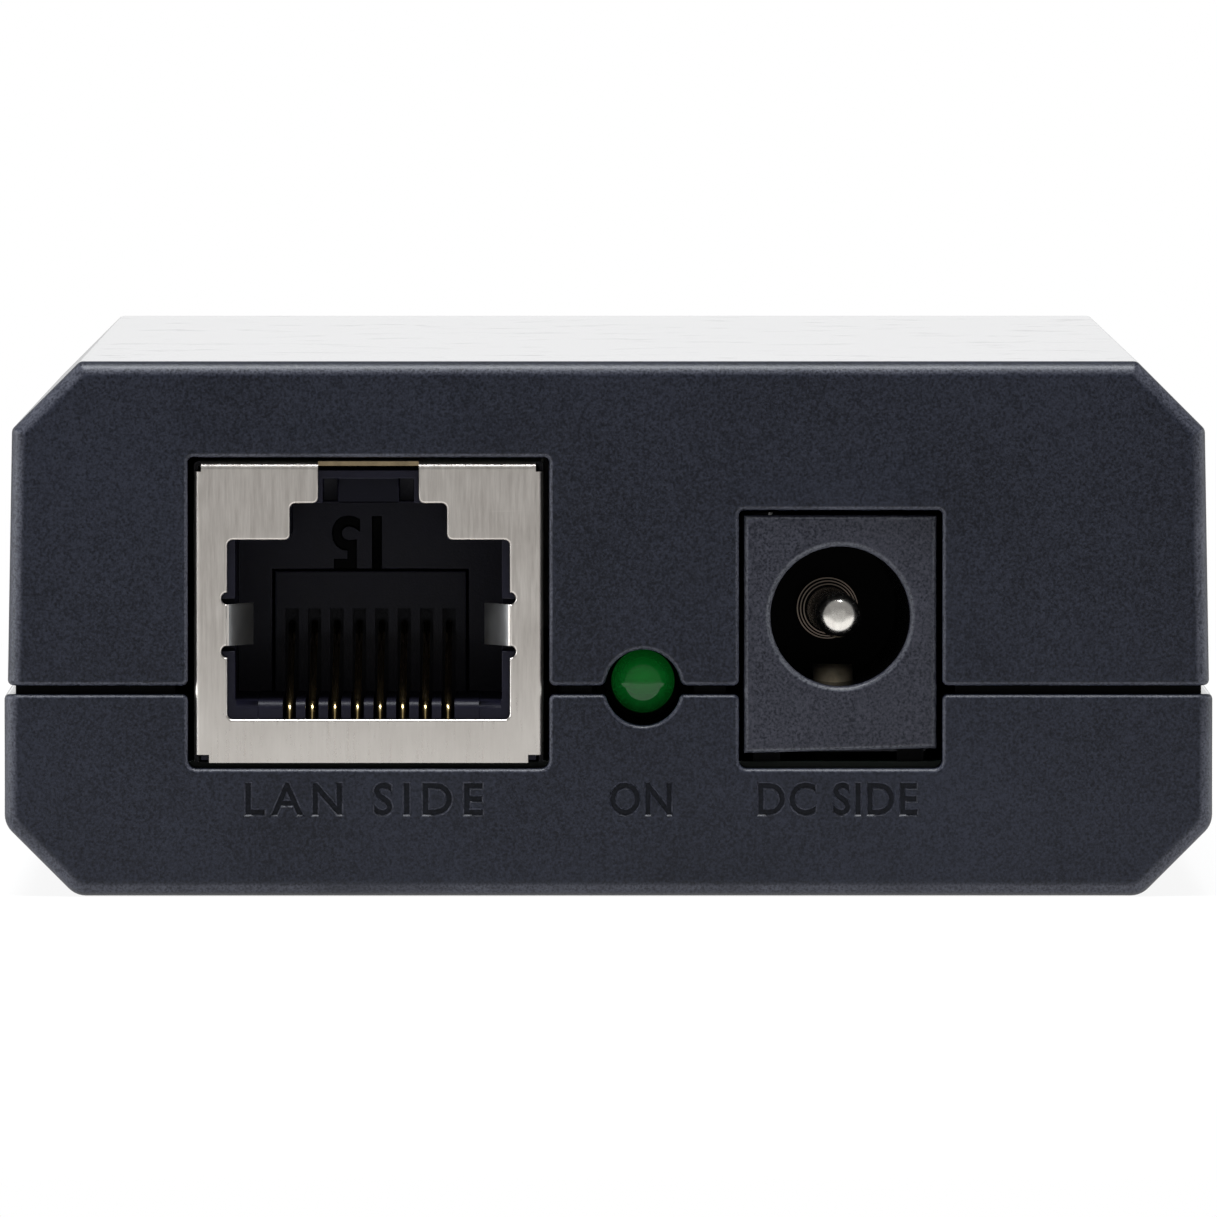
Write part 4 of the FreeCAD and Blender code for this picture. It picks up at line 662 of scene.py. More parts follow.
dress(finish("ceramic_tan", (0.42, 0.3, 0.18), 0.45, tone=0.2), 0.08, "isolation_capacitor",
      "chip_capacitors")
dress(finish("tantalum_orange", (0.6, 0.32, 0.05), 0.45, grain=0.01), 0.12, "output_capacitor")
dress(finish("resistor_black", (0.03, 0.03, 0.035), 0.4, tone=0.3), 0.04, "chip_resistors")

# A network jack's shield is one folded sheet of nickel-plated brass. Its front has a stepped
# opening for the plug and its latch, and a spring tab is bent in at each side.
(left, front, PIN_FOOT), (right, back, shield_top) = corners("data_out_jack_shield")
SHIELD_WIDTH, SHIELD_DEPTH = round(right - left, 2), round(back - front, 2)
SHIELD_HEIGHT, PIN_DROP = round(shield_top - BOARD_TOP, 2), BOARD_TOP - PIN_FOOT
SHEET = 0.2
FOLD_ROUND, TOP_FOLD_ROUND = 0.36, 0.2
MOUTH_HALF, MOUTH_FLOOR, MOUTH_ROOF = 6.33, 1.95, 10.0
STEP_HALF, STEP_ROOF = 3.52, 11.64
LATCH_HALF = 2.26
OPENING_CORNER, MOUTH_EASE, EASE_ROOM, EASE_FOOT = 0.24, 0.1, 0.02, 0.5
TOP_NOTCH = (0.33, 0.45)
FOOT_NOTCH = (0.68, 0.36)
SPRING_FLOOR, SPRING_ROOF = 5.25, 7.1
SPRING_REACH, SPRING_DEPTH = 1.05, 2.0
RELIEF_RADIUS = 0.27
GROUND_PIN = (12.5, 1.5)
JACKS = {"data_out_jack": 0.0, "poe_in_jack": math.pi}


def jack_place(jack):
    """The move from a jack's own frame, mouth facing -Y at y = 0 and foot at z = 0, to its place."""
    low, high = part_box(jack + "_shield")
    mouth = low.y if JACKS[jack] == 0 else high.y
    place = Matrix.Translation(((low.x + high.x) / 2, mouth, high.z - SHIELD_HEIGHT * MM))
    return place @ Matrix.Rotation(JACKS[jack], 4, "Z") @ Matrix.Scale(MM, 4)


def strip(path, thickness):
    """The outline of a thin strip whose middle follows a path."""
    path = [Vector(point) for point in path]
    inner, outer = [], []
    for i, point in enumerate(path):
        ahead = path[min(i + 1, len(path) - 1)] - path[max(i - 1, 0)]
        aside = Vector((-ahead.y, ahead.x)).normalized() * thickness / 2
        inner.append(tuple(point - aside))
        outer.append(tuple(point + aside))
    return inner + outer[::-1]


def shield_metal():
    """Nickel plate with a fine upright grain, a little smoother near the foot and painted lighter there, a
    painted reflection of the white table.
    """
    shader = Shader(bpy.data.materials.new("shield_nickel"))
    here = shader.here()
    upright = shader.add("Mapping", Vector=here, Scale=(8500, 8500, 600))
    grain = shader.noise(upright[0], 1, 4, 0.7)
    slanted = shader.add("Mapping", Vector=here, Rotation=(0, math.radians(35), 0), Scale=(300, 300, 5000))
    scratch = shader.noise(slanted[0], 1, 2)
    cloud = shader.noise(here, 320, 3)
    above = shader.ramp(shader.split(here)["Z"], 7.0 * MM, 12.0 * MM)
    streaks = shader.times(shader.ramp(grain, 0.3, 0.7, -0.32, 0.32), shader.ramp(above, 0, 1, 0.2, 0.8))
    # Painted lighter towards the foot: a painted reflection of the white table below.
    level = shader.plus(
        streaks, shader.ramp(above, 0, 1, 0.3, -0.12), shader.ramp(cloud, 0.3, 0.7, 0.35, 0.65),
        shader.ramp(scratch, 0.7, 0.78, 0.0, 0.12))
    gloss = shader.plus(shader.ramp(grain, 0.3, 0.7, 0.27, 0.37), shader.ramp(above, 0, 1, -0.02, 0.03))
    relief = shader.add("Bump", Height=grain, Strength=0.2, Distance=0.006 * MM)
    colour = shader.blend(level, (0.60, 0.555, 0.51), (0.88, 0.835, 0.78))
    return shader.surface(Base_Color=colour, Metallic=1.0, Roughness=gloss, Normal=relief[0])


def spring_tab(side):
    """A tab at one side of the opening, which leaves the front in a small bend and leans in."""
    start, bend = Vector((MOUTH_HALF + SHEET, SHEET / 2)), Vector((MOUTH_HALF - 0.12, SHEET / 2))
    tip = Vector((MOUTH_HALF - SPRING_REACH, SPRING_DEPTH))
    path = [start.lerp(bend, t).lerp(bend.lerp(tip, t * 0.9), t) for t in (k / 8 for k in range(9))] + [tip]
    return prism([(side * x, y) for x, y in strip(path, SHEET)], SPRING_FLOOR, SPRING_ROOF, "Z")


def fold_shield():
    half = SHIELD_WIDTH / 2
    shell = slab(half, 0, SHIELD_DEPTH, 0, SHIELD_HEIGHT)
    ease(shell, FOLD_ROUND, 6, lambda edge: in_front(edge) and middle(edge).z > NEAR)
    ease(shell, TOP_FOLD_ROUND, 3,
         lambda edge: runs_along(edge, "Y") and middle(edge).z > SHIELD_HEIGHT - NEAR)
    hollow = slab(half - SHEET, SHEET, SHIELD_DEPTH - SHEET, -PAST, SHIELD_HEIGHT - SHEET)
    behind = FOLD_ROUND + SHEET
    right = [(MOUTH_HALF, MOUTH_FLOOR), (MOUTH_HALF, MOUTH_ROOF), (STEP_HALF, MOUTH_ROOF),
             (STEP_HALF, STEP_ROOF), (LATCH_HALF, STEP_ROOF), (LATCH_HALF, SHIELD_HEIGHT + PAST)]
    radii = [OPENING_CORNER] * (len(right) - 1) + [0]
    mouth = rounded(right + [(-x, z) for x, z in reversed(right)], radii + radii[::-1])
    cutters = [hollow, prism(mouth, -PAST, behind)]
    for side in (-1, 1):
        for width, low, high in ((TOP_NOTCH[0], SHIELD_HEIGHT - TOP_NOTCH[1], SHIELD_HEIGHT + PAST),
                                 (FOOT_NOTCH[0], -PAST, FOOT_NOTCH[1])):
            x0, x1 = sorted((side * (half - width), side * (half + PAST)))
            cutters.append(block(x0, x1, -PAST, behind, low, high))
        for z in (SPRING_FLOOR - RELIEF_RADIUS, SPRING_ROOF + RELIEF_RADIUS):
            cutters.append(bar(side * MOUTH_HALF, z, RELIEF_RADIUS, -PAST, FOLD_ROUND, sides=24))
    shell = combine(shell, "DIFFERENCE", *cutters)
    inside, top = half - FOLD_ROUND - EASE_ROOM, SHIELD_HEIGHT - FOLD_ROUND - EASE_ROOM / 2
    ease(shell, MOUTH_EASE, 3, lambda edge: in_front(edge) and abs(middle(edge).x) < inside
         and EASE_FOOT < middle(edge).z < top)
    place, width = GROUND_PIN
    pins = [slab(SHEET / 2, place - width / 2, place + width / 2, -PIN_DROP, SHEET,
                 side * (half - SHEET / 2)) for side in (-1, 1)]
    shell = combine(shell, "UNION", spring_tab(1), spring_tab(-1), *pins)
    mark(shell, 1, lambda point, normal: abs(point.y - behind) < NEAR
         and point.z > SHIELD_HEIGHT - SHEET and abs(point.x) < LATCH_HALF)
    # Faces behind the corner notches take the near-black of painted shade.
    mark(shell, 2, lambda point, normal: abs(point.y - behind) < NEAR
         and abs(point.x) > half - FOOT_NOTCH[0])
    # The spring tabs take the darker nickel of painted shade.
    mark(shell, 3, lambda point, normal: point.y > SHEET / 2 and abs(point.x) < MOUTH_HALF + 0.05
         and SPRING_FLOOR < point.z < SPRING_ROOF)
    return shell


SHIELD_METAL = shield_metal()
CUT_BRASS = finish("cut_brass", (0.42, 0.33, 0.2), 0.4, metallic=1.0, tone=0.3, tone_scale=2.0)
# A darker copy of the nickel for the spring tabs: painted shade.
TAB_SHADE_METAL = finish("tab_nickel_painted_shade", (0.3, 0.3, 0.3), 0.4, metallic=1.0)
# Near-black for the sheet's faces seen through the corner notches: painted shade.
NOTCH_SHADE_METAL = finish("notch_painted_shade", (0.008, 0.008, 0.009), 0.6, specular=0.1)
for jack in JACKS:
    fit(fold_shield(), jack + "_shield_sheet", "shield_sheet", jack + "_shield", SHIELD_METAL, CUT_BRASS,
        NOTCH_SHADE_METAL, TAB_SHADE_METAL, move=jack_place(jack))

# Inside the shield stands a black moulding with a stepped cavity. A mould number is cut into the
# back wall of the cavity. A second moulding, the comb, is pushed into its floor and rises behind,
# with a slot for each of the eight contacts. Two small pockets open above the step.
CAVITY_HALF, CAVITY_FLOOR, CAVITY_DEPTH = 5.98, 2.8, 9.0
FLOOR_LIP = 0.42
MOULD_NUMBERS = {"data_out_jack": "15", "poe_in_jack": "17"}
NUMBER_PLACE, NUMBER_HEIGHT, NUMBER_WIDTH, NUMBER_DEPTH, NUMBER_WEIGHT = (-0.62, 9.55), 2.25, 2.1, 0.2, 0.03
HOUSING_EASE = 0.05
# the latch's recess between the pockets, and the slot that joins them to the step below
LATCH_DEPTH, LATCH_FOOT = 0.9, 11.2
RECESS_HALF, RECESS_TOP = 1.5, 12.75
POCKET_REACH, POCKET_RISE = 2.05, 0.55
SHADE_FOOT, SHADE_TOP, SHADE_PAST = 13.1, 15, 0.3
COMB_HALF, COMB_FRONT, COMB_BACK, COMB_FOOT = 4.945, 0.3, 16.2, 0.1
RISER_HALF, RISER_FRONT, RISER_FOOT, RISER_TOP, RISER_EASE = 4.35, 9.3, 1.4, 8.25, 0.1
CONTACTS, CONTACT_PITCH, SLOT_HALF = 8, 1.016, 0.3
SLOT = [(-0.5, 0.9), (9.9, 0.9), (9.9, -0.5), (14.8, -0.5), (14.8, 1.4), (10.5, 1.4), (10.5, 6.55),
        (-0.5, 6.55)]
JACK_PLASTIC = finish("jack_plastic", (0.0045, 0.0043, 0.0105), 0.42, grain=0.012, grain_scale=9.0,
                      specular=0.17)
# Darker plastic for the back of the latch's recess: painted shade.
RECESS_SHADE_PLASTIC = finish("latch_recess_painted_shade", (0.003, 0.003, 0.0065), 0.5, specular=0.1)
# Near-black plastic for the floors of the mould number: painted shade.
NUMBER_SHADE_PLASTIC = finish("mould_number_painted_shade", (0.0006, 0.0006, 0.001), 0.6, specular=0.05)


def mould_housing(jack, move):
    """The housing's own solid with its edges rounded, a soft lip and its number."""
    bm = bmesh.new()
    bm.from_mesh(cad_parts[jack + "_housing"].data)
    bm.transform(move.inverted())
    bmesh.ops.remove_doubles(bm, verts=bm.verts, dist=1e-4)
    bmesh.ops.dissolve_limit(bm, angle_limit=math.radians(0.5), verts=bm.verts, edges=bm.edges)
    bm = combine(bm, "DIFFERENCE", slab(RECESS_HALF, -PAST, LATCH_DEPTH, LATCH_FOOT, RECESS_TOP),
                 slab(POCKET_REACH, -PAST, LATCH_DEPTH, LATCH_FOOT, LATCH_FOOT + POCKET_RISE))
    ease(bm, HOUSING_EASE, 2, lambda edge: edge.calc_face_angle(0) > math.radians(30))
    x, z = NUMBER_PLACE
    digits = letters(MOULD_NUMBERS[jack], NUMBER_HEIGHT, NUMBER_WIDTH, NUMBER_DEPTH, NUMBER_WEIGHT)
    for digit in digits:
        digit.transform(Matrix.Translation((x, CAVITY_DEPTH, z)) @ Matrix.Rotation(math.pi, 4, "Y"))
    arc = [(COMB_FRONT + FLOOR_LIP * (1 - math.cos(a)), CAVITY_FLOOR - FLOOR_LIP * (1 - math.sin(a)))
           for a in quarter(6)]
    lip = [(-PAST, CAVITY_FLOOR - FLOOR_LIP)] + arc + [(COMB_FRONT + FLOOR_LIP, 4), (-PAST, 4)]
    above_lip = prism(lip, HOUSING_EASE - CAVITY_HALF, CAVITY_HALF - HOUSING_EASE, "X")
    shade = slab(LATCH_HALF + SHADE_PAST, -PAST, LATCH_DEPTH, SHADE_FOOT, SHADE_TOP)
    bm = combine(bm, "DIFFERENCE", *digits, shade, above_lip)
    # The back of the latch's recess takes the darker plastic of painted shade.
    mark(bm, 2, lambda point, normal: abs(point.y - LATCH_DEPTH) < NEAR and abs(point.x) < RECESS_HALF
         and LATCH_FOOT < point.z < RECESS_TOP)
    # The floors of the cut digits take the near-black plastic of painted shade.
    mark(bm, 1, lambda point, normal: 0.02 < point.y - CAVITY_DEPTH < NUMBER_DEPTH + 0.01
         and abs(point.x - x) < NUMBER_WIDTH and abs(point.z - z) < NUMBER_HEIGHT)
    return bm


def contact_places():
    return [(number - (CONTACTS - 1) / 2) * CONTACT_PITCH for number in range(CONTACTS)]


def mould_comb():
    base = slab(COMB_HALF, COMB_FRONT, COMB_BACK, COMB_FOOT, CAVITY_FLOOR)
    ease(base, FLOOR_LIP, 5, lambda edge: middle(edge).y < 1 and middle(edge).z > CAVITY_FLOOR - NEAR
         and runs_along(edge, "X"))
    riser = slab(RISER_HALF, RISER_FRONT, COMB_BACK, RISER_FOOT, RISER_TOP)
    ease(riser, RISER_EASE, 2, lambda edge: max(v.co.y for v in edge.verts) < RISER_FRONT + NEAR)
    comb = combine(base, "UNION", riser)
    slots = [prism(SLOT, x - SLOT_HALF, x + SLOT_HALF, "X") for x in contact_places()]
    return combine(comb, "DIFFERENCE", *slots)


for jack in JACKS:
    move = jack_place(jack)
    fit(mould_housing(jack, move), jack + "_insert", "jack_plastic", jack + "_housing", JACK_PLASTIC,
        NUMBER_SHADE_PLASTIC, RECESS_SHADE_PLASTIC, move=move)
    fit(mould_comb(), jack + "_comb_moulding", "jack_plastic", jack + "_comb", JACK_PLASTIC, move=move)

# The eight contacts are gold-plated wires. Each comes up through the board, runs forward in its
# slot, turns back over the lip of the comb in a round bend, and slopes up to the rear.
CONTACT_RADIUS = 0.155
BEND_RADIUS, BEND_Y, BEND_Z = 0.75, 1.9, 1.9
TAILS = (12.2, 14.5)
TAIL_BEND = 0.3
SLOPE_END = (10.2, 5.85)
CONTACT_GOLD = finish("contact_gold", (0.83, 0.62, 0.28), 0.2, metallic=1.0, tone=0.12, tone_scale=2.0)


def skin(rings):
    """A closed solid over a row of rings that have the same number of points."""
    bm = bmesh.new()
    loops = [[bm.verts.new(point) for point in ring] for ring in rings]
    for loop, after in zip(loops, loops[1:]):
        for k in range(len(loop)):
            ahead = (k + 1) % len(loop)
            bm.faces.new((loop[k], loop[ahead], after[ahead], after[k]))
    bm.faces.new(loops[0][::-1])
    bm.faces.new(loops[-1])
    bmesh.ops.recalc_face_normals(bm, faces=bm.faces)
    return bm


def tube(path, radius, sides=12):
    """A round wire along a path in a plane of constant x, closed at both ends."""
    across = Vector((1, 0, 0))
    rings = []
    for i, point in enumerate(path):
        ahead = (path[min(i + 1, len(path) - 1)] - path[max(i - 1, 0)]).normalized()
        up = across.cross(ahead)
        rings.append([point + radius * (math.cos(a) * across + math.sin(a) * up) for a in turns(sides)])
    return skin(rings)


def together(parts):
    """Separate shapes as one mesh."""
    whole = bmesh.new()
    for part in parts:
        mesh = bpy.data.meshes.new("part")
        part.to_mesh(mesh)
        part.free()
        whole.from_mesh(mesh)
        bpy.data.meshes.remove(mesh)
    return whole


def contact_wire(x, tail):
    """The wire at one place across, which comes up through the board at its tail."""
    low = BEND_Z - BEND_RADIUS
    points = [(tail, -PIN_DROP + CONTACT_RADIUS), (tail, low - TAIL_BEND)]
    points += [(tail - TAIL_BEND * (1 - math.cos(a)), low - TAIL_BEND * (1 - math.sin(a)))
               for a in quarter(5)[1:]]
    sweep = math.pi - math.atan2(SLOPE_END[1] - BEND_Z - BEND_RADIUS, SLOPE_END[0] - BEND_Y)
    points += [(BEND_Y - BEND_RADIUS * math.sin(a), BEND_Z - BEND_RADIUS * math.cos(a))
               for a in (sweep * k / 16 for k in range(17))]
    points.append(SLOPE_END)
    return tube([Vector((x, y, z)) for y, z in points], CONTACT_RADIUS)


for jack in JACKS:
    wires = [contact_wire(x, TAILS[number % 2]) for number, x in enumerate(contact_places())]
    fit(together(wires), jack + "_contact_wires", "gold_contact", jack + "_contacts", CONTACT_GOLD,
        move=jack_place(jack))

# The power jack is a satin black moulding with a round hole, soldered to the board a little
# askew. A nickel-plated pin stands in the hole, riveted to a plate behind, and a brass spring
# rises through the floor of the hole to hold the plug.
POWER_YAW = math.radians(2.8)
POWER_FACE_Y = -40.1
POWER_HALF, POWER_FOOT, POWER_TOP = 4.33, 0.42, 11.11
FOOT_LEAN = 0.2
FLANGE_DEPTH, POWER_DEPTH = 3.4, 13.8
HOLE_Z, HOLE_RADIUS, HOLE_DEPTH = 6.55, 3.13, 10.2
HOLE_RIM = 0.3
FLANGE_ROUND = 0.3
BARREL_HALF, BARREL_STEP, BARREL_STEPS = POWER_HALF - 0.4, 0.01, 48
FEET_ACROSS, FEET_ALONG, FEET_HALF = BARREL_HALF - 0.7, (2.4, POWER_DEPTH - 2.0), (0.6, 0.8)
FEET_LAP = 0.5
SPRING_SLOT_HALF, SPRING_SLOT_FRONT, SPRING_SLOT_BACK, SPRING_SLOT_TOP = 1.1, 4.0, 12.4, 2.6
SPRING_SLOT_STOP = 0.4
SWITCH_SLOT_HALF, SWITCH_SLOT = 0.5, (5.8, 8.2)
PIN_RADIUS, PIN_SETBACK, PIN_NOSE, PIN_SHANK = 1.0, 0.9, 0.72, 0.8
COLLARS = ((8.7, 1.09), (8.8, 1.14), (9.0, 1.22), (9.1, 1.27), (9.4, 1.34), (9.5, 1.39))
SPRING_HALF, SPRING_THICK, SPRING_SHIFT = 0.9, 0.3, -0.27
SPRING_PATH = ((12.05, -PIN_DROP), (12.05, 1.85), (12.0, 2.05), (11.8, 2.15), (10.2, 2.15), (9.4, 2.4),
               (8.6, 2.95), (7.8, 3.55), (7.0, 3.92), (6.4, 4.0), (5.8, 3.8), (5.2, 3.3), (4.7, 2.85),
               (4.35, 2.65))
POWER_MOVE = Matrix.Scale(MM, 4) @ Matrix.Translation((POWER_X, POWER_FACE_Y, BOARD_TOP)) @ (
    Matrix.Rotation(POWER_YAW, 4, "Z"))
# Its paler edge colour is partly wear and partly a painted highlight on the rounded edges.
POWER_PLASTIC = case_plastic("power_jack_plastic", (0.029, 0.030, 0.042), (0.002, 0.003, 0.008),
                             (0.08, 0.083, 0.095), 0.9)
RIVET_METAL = finish("rivet_brown", (0.42, 0.35, 0.29), 0.4, metallic=1.0)
PIN_METAL = finish("pin_nickel", (0.9, 0.85, 0.79), 0.24, metallic=1.0, tone=0.15, tone_scale=2.5)
TERMINAL_METAL = finish("terminal_brass", (0.9, 0.76, 0.54), 0.42, metallic=1.0, tone=0.15, tone_scale=1.5)


def spring_brass_painted_highlight():
    """Brass with a painted highlight along the middle, dimmer towards the top, and painted shade, nearly
    black, beside it.
    """
    shader = Shader(bpy.data.materials.new("spring_brass_painted_highlight"))
    here = shader.here()
    spot = shader.split(here)
    aside = shader.maths("ABSOLUTE", shader.maths("SUBTRACT", spot["X"], (POWER_X + SPRING_SHIFT) * MM))
    painted_highlight = shader.times(
        shader.ramp(aside, SPRING_HALF * MM, 0.1 * MM),
        shader.ramp(spot["Z"], (BOARD_TOP + 4.1) * MM, (BOARD_TOP + 3.3) * MM, 0.15, 1.0),
        shader.ramp(shader.noise(here, 2500, 3), 0.3, 0.6, 0.7, 1.0))
    # Bright where the highlight is painted, nearly black beside it as painted shade.
    colour = shader.blend(painted_highlight, (0.01, 0.008, 0.006), (1.0, 0.86, 0.62))
    return shader.surface(Base_Color=colour, Metallic=0.3, Roughness=0.45)


def lathe(profile, sides=64):
    """A round solid about the Y axis, from each ring's place along it and its radius."""
    return skin([[(r * math.cos(a), y, r * math.sin(a)) for a in turns(sides)] for y, r in profile])


flange = prism([(-POWER_HALF, POWER_FOOT), (POWER_HALF, POWER_FOOT + FOOT_LEAN), (POWER_HALF, POWER_TOP),
                (-POWER_HALF, POWER_TOP)], 0, FLANGE_DEPTH)
ease(flange, FLANGE_ROUND, 4, in_front)
arch = [(BARREL_HALF * math.cos(a), HOLE_Z + BARREL_HALF * math.sin(a))
        for a in (math.pi * k / BARREL_STEPS for k in range(BARREL_STEPS + 1))]
corner_z = POWER_FOOT + BARREL_STEP
barrel = prism([(-BARREL_HALF, corner_z), (BARREL_HALF, corner_z)] + arch, FLANGE_DEPTH / 2, POWER_DEPTH)
foot_x, foot_y = FEET_HALF
feet = [slab(foot_x, y - foot_y, y + foot_y, 0, POWER_FOOT + FEET_LAP, side * FEET_ACROSS)
        for side in (-1, 1) for y in FEET_ALONG]
jack_block = combine(flange, "UNION", barrel, *feet)
jack_block = combine(
    jack_block, "DIFFERENCE", bar(0, HOLE_Z, HOLE_RADIUS, -PAST, HOLE_DEPTH, sides=128),
    bar(0, HOLE_Z, PIN_SHANK + 0.05, 1, POWER_DEPTH + PAST, sides=32),
    slab(SPRING_SLOT_HALF, SPRING_SLOT_FRONT, HOLE_DEPTH - SPRING_SLOT_STOP, -PAST,
         HOLE_Z - HOLE_RADIUS / 2),
    slab(SPRING_SLOT_HALF, SPRING_SLOT_FRONT, SPRING_SLOT_BACK, -PAST, SPRING_SLOT_TOP),
    slab(SWITCH_SLOT_HALF, *SWITCH_SLOT, -PAST, HOLE_Z, BARREL_HALF))
ease(jack_block, HOLE_RIM, 5, lambda edge: in_front(edge)
     and abs(math.hypot(middle(edge).x, middle(edge).z - HOLE_Z) - HOLE_RADIUS) < 0.02)
# The jack's underside and the inside of its hole take the near-black plastic of painted shade.
mark(jack_block, 1, lambda point, normal: point.z < POWER_FOOT - 0.02 or (
    math.hypot(point.x, point.z - HOLE_Z) < HOLE_RADIUS + 0.02 and point.y > HOLE_RIM - 0.01))
fit(jack_block, "dc_jack_block", "power_jack_plastic", "dc_jack_body", POWER_PLASTIC, PAINTED_SHADE_PLASTIC,
    move=POWER_MOVE)

rings = [(PIN_SETBACK + PIN_NOSE * (1 - math.sin(a)), PIN_RADIUS - PIN_NOSE * (1 - math.cos(a)))
         for a in reversed(quarter(7))]
for y, radius in COLLARS:
    rings += [(y, rings[-1][1]), (y, radius)]
rings += [(HOLE_DEPTH, rings[-1][1]), (HOLE_DEPTH, PIN_SHANK), (POWER_DEPTH + 0.5, PIN_SHANK),
          (POWER_DEPTH + 0.6, PIN_SHANK - 0.1)]
pin = lathe(rings)
# Behind its first collar, deep in the hole, the pin takes the near-black plastic of painted shade.
mark(pin, 2, lambda point, normal: point.y > COLLARS[0][0] - 0.01)
mark(pin, 1, lambda point, normal: any(abs(point.y - y) < NEAR / 10 for y, radius in COLLARS[1::2]))
fit(pin, "dc_jack_centre_pin", "pin_metal", "dc_jack_pin", PIN_METAL, RIVET_METAL, PAINTED_SHADE_PLASTIC,
    move=POWER_MOVE @ Matrix.Translation((0, 0, HOLE_Z)), smooth=50)
spring = prism(strip(SPRING_PATH, SPRING_THICK), -SPRING_HALF, SPRING_HALF, "X")
fit(spring, "dc_jack_spring_strip", "spring_metal", "dc_jack_spring", spring_brass_painted_highlight(), move=POWER_MOVE)
dress(TERMINAL_METAL, 0.04, "dc_jack_side_terminal", "dc_jack_rear_terminal")

# The power lamp is a round-nosed lamp of green epoxy on two leads, which puts its nose into a
# hole in the seam. A black block behind it keeps it at its height.
LAMP_RADIUS, LAMP_LENGTH = 1.42, 5.3
LAMP_FLANGE, LAMP_FLANGE_DEPTH, LAMP_TIP, LAMP_CLEAR = 1.75, 1.0, 0.01, 0.6


def lamp_epoxy_painted_glow():
    """Diffusing green epoxy with a painted glow: its colour is also given off as emission, and it is painted
    lighter towards the top.
    """
    shader = Shader(bpy.data.materials.new("lamp_epoxy_painted_glow"))
    here = shader.here()
    cloud = shader.noise(here, 700, 2)
    # Painted lighter towards the top.
    level = shader.plus(shader.ramp(shader.split(here)["Z"], 8.3 * MM, 9.9 * MM, 0.0, 0.85),
                        shader.times(cloud, 0.3))
    tone = shader.blend(level, (0.0006, 0.015, 0.0025), (0.001, 0.044, 0.005))
    # The emission is a painted glow that stands in for light scattered inside the epoxy.
    return shader.surface(Base_Color=tone, Emission_Color=tone, Emission_Strength=0.6, IOR=1.52,
                          Specular_IOR_Level=0.4, Roughness=shader.ramp(cloud, 0.3, 0.7, 0.05, 0.09))


nose = [(LAMP_RADIUS * (1 - math.cos(a)), max(LAMP_RADIUS * math.sin(a), LAMP_TIP)) for a in quarter(24)]
collar = LAMP_LENGTH - LAMP_FLANGE_DEPTH
lens = lathe(nose + [(collar, LAMP_RADIUS), (collar, LAMP_FLANGE), (LAMP_LENGTH, LAMP_FLANGE)])
# The back of the lens, deep in its hole, takes a darker green of painted shade.
mark(lens, 1, lambda point, normal: point.y > LAMP_RADIUS + LAMP_CLEAR)
LAMP_BACK_SHADE = finish("lamp_back_painted_shade", (0.001, 0.008, 0.002), 0.5, specular=0.05)
low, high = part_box("power_led_lens")
lamp_move = Matrix.Translation(((low.x + high.x) / 2, low.y, (low.z + high.z) / 2)) @ Matrix.Scale(MM, 4)
fit(lens, "power_lamp", "lamp_green", "power_led_lens", lamp_epoxy_painted_glow(), LAMP_BACK_SHADE, move=lamp_move, smooth=50)

# The upper shell is the lid, of the same plastic. Its rebate drops over the tray's tongue, and its
# two bosses take the screws from below.
UPPER_HALF, UPPER_DRAFT, UPPER_BEVEL, UPPER_ROUND, UPPER_LAMP_CORNER = 26.95, 0.2, 3.05, 0.35, 0.32
CEILING = CASE_HEIGHT - WALL
ROOF_BOSS, ROOF_BOSS_FOOT, PILOT_RADIUS, PILOT_TOP = 2.2, BOARD_TOP + 0.1, 1.08, 13.0
RIB_DROP, RIB_HALF = 9.0, 0.5
lean = UPPER_HALF - UPPER_DRAFT
inner_side, inner_lean = UPPER_HALF - WALL, lean - WALL
knee = UPPER_BEVEL - WALL * OFFSET_CORNER
slope = [(UPPER_HALF, UPPER_EDGE), (lean, CASE_HEIGHT - UPPER_BEVEL), (lean - UPPER_BEVEL, CASE_HEIGHT)]
upper = shell_solid(slope + [(UPPER_BEVEL - lean, CASE_HEIGHT)], (UPPER_ROUND, UPPER_ROUND), UPPER_EDGE)
right = [(inner_side, UPPER_EDGE - PAST), (inner_lean, CEILING - knee), (inner_lean - knee, CEILING)]
lid = prism(right + [(-x, z) for x, z in reversed(right)], -INNER_END, INNER_END)
upper = combine(upper, "DIFFERENCE", lid, *opening_cutters(UPPER_EDGE - PAST, CASE_HEIGHT),
                lamp_opening(UPPER_EDGE, 1, UPPER_LAMP_CORNER))
ease_shell(upper, UPPER_EDGE, UPPER_HALF)
out_side, out_end = INNER_SIDE + TONGUE + TONGUE_ROOM, INNER_END + TONGUE + TONGUE_ROOM
upper = combine(upper, "DIFFERENCE", slab(out_side, -out_end, out_end, LOWER_EDGE,
                                          LOWER_EDGE + TONGUE_RISE + TONGUE_ROOM))
columns = [bar(x, y, ROOF_BOSS, ROOF_BOSS_FOOT, CEILING + WALL / 2, "Z", 64) for x, y in SCREWS]
columns += [slab(POST_HALF, y - POST_HALF, y + POST_HALF, ROOF_BOSS_FOOT, CEILING + WALL / 2, x)
            for x, y in POSTS]
for x, y in SCREWS:
    x0, x1 = sorted((x, math.copysign(inner_lean + WALL / 2, x)))
    columns.append(block(x0, x1, y - RIB_HALF, y + RIB_HALF, CEILING - RIB_DROP, CEILING - UPPER_BEVEL / 2))
upper = combine(upper, "UNION", *columns)
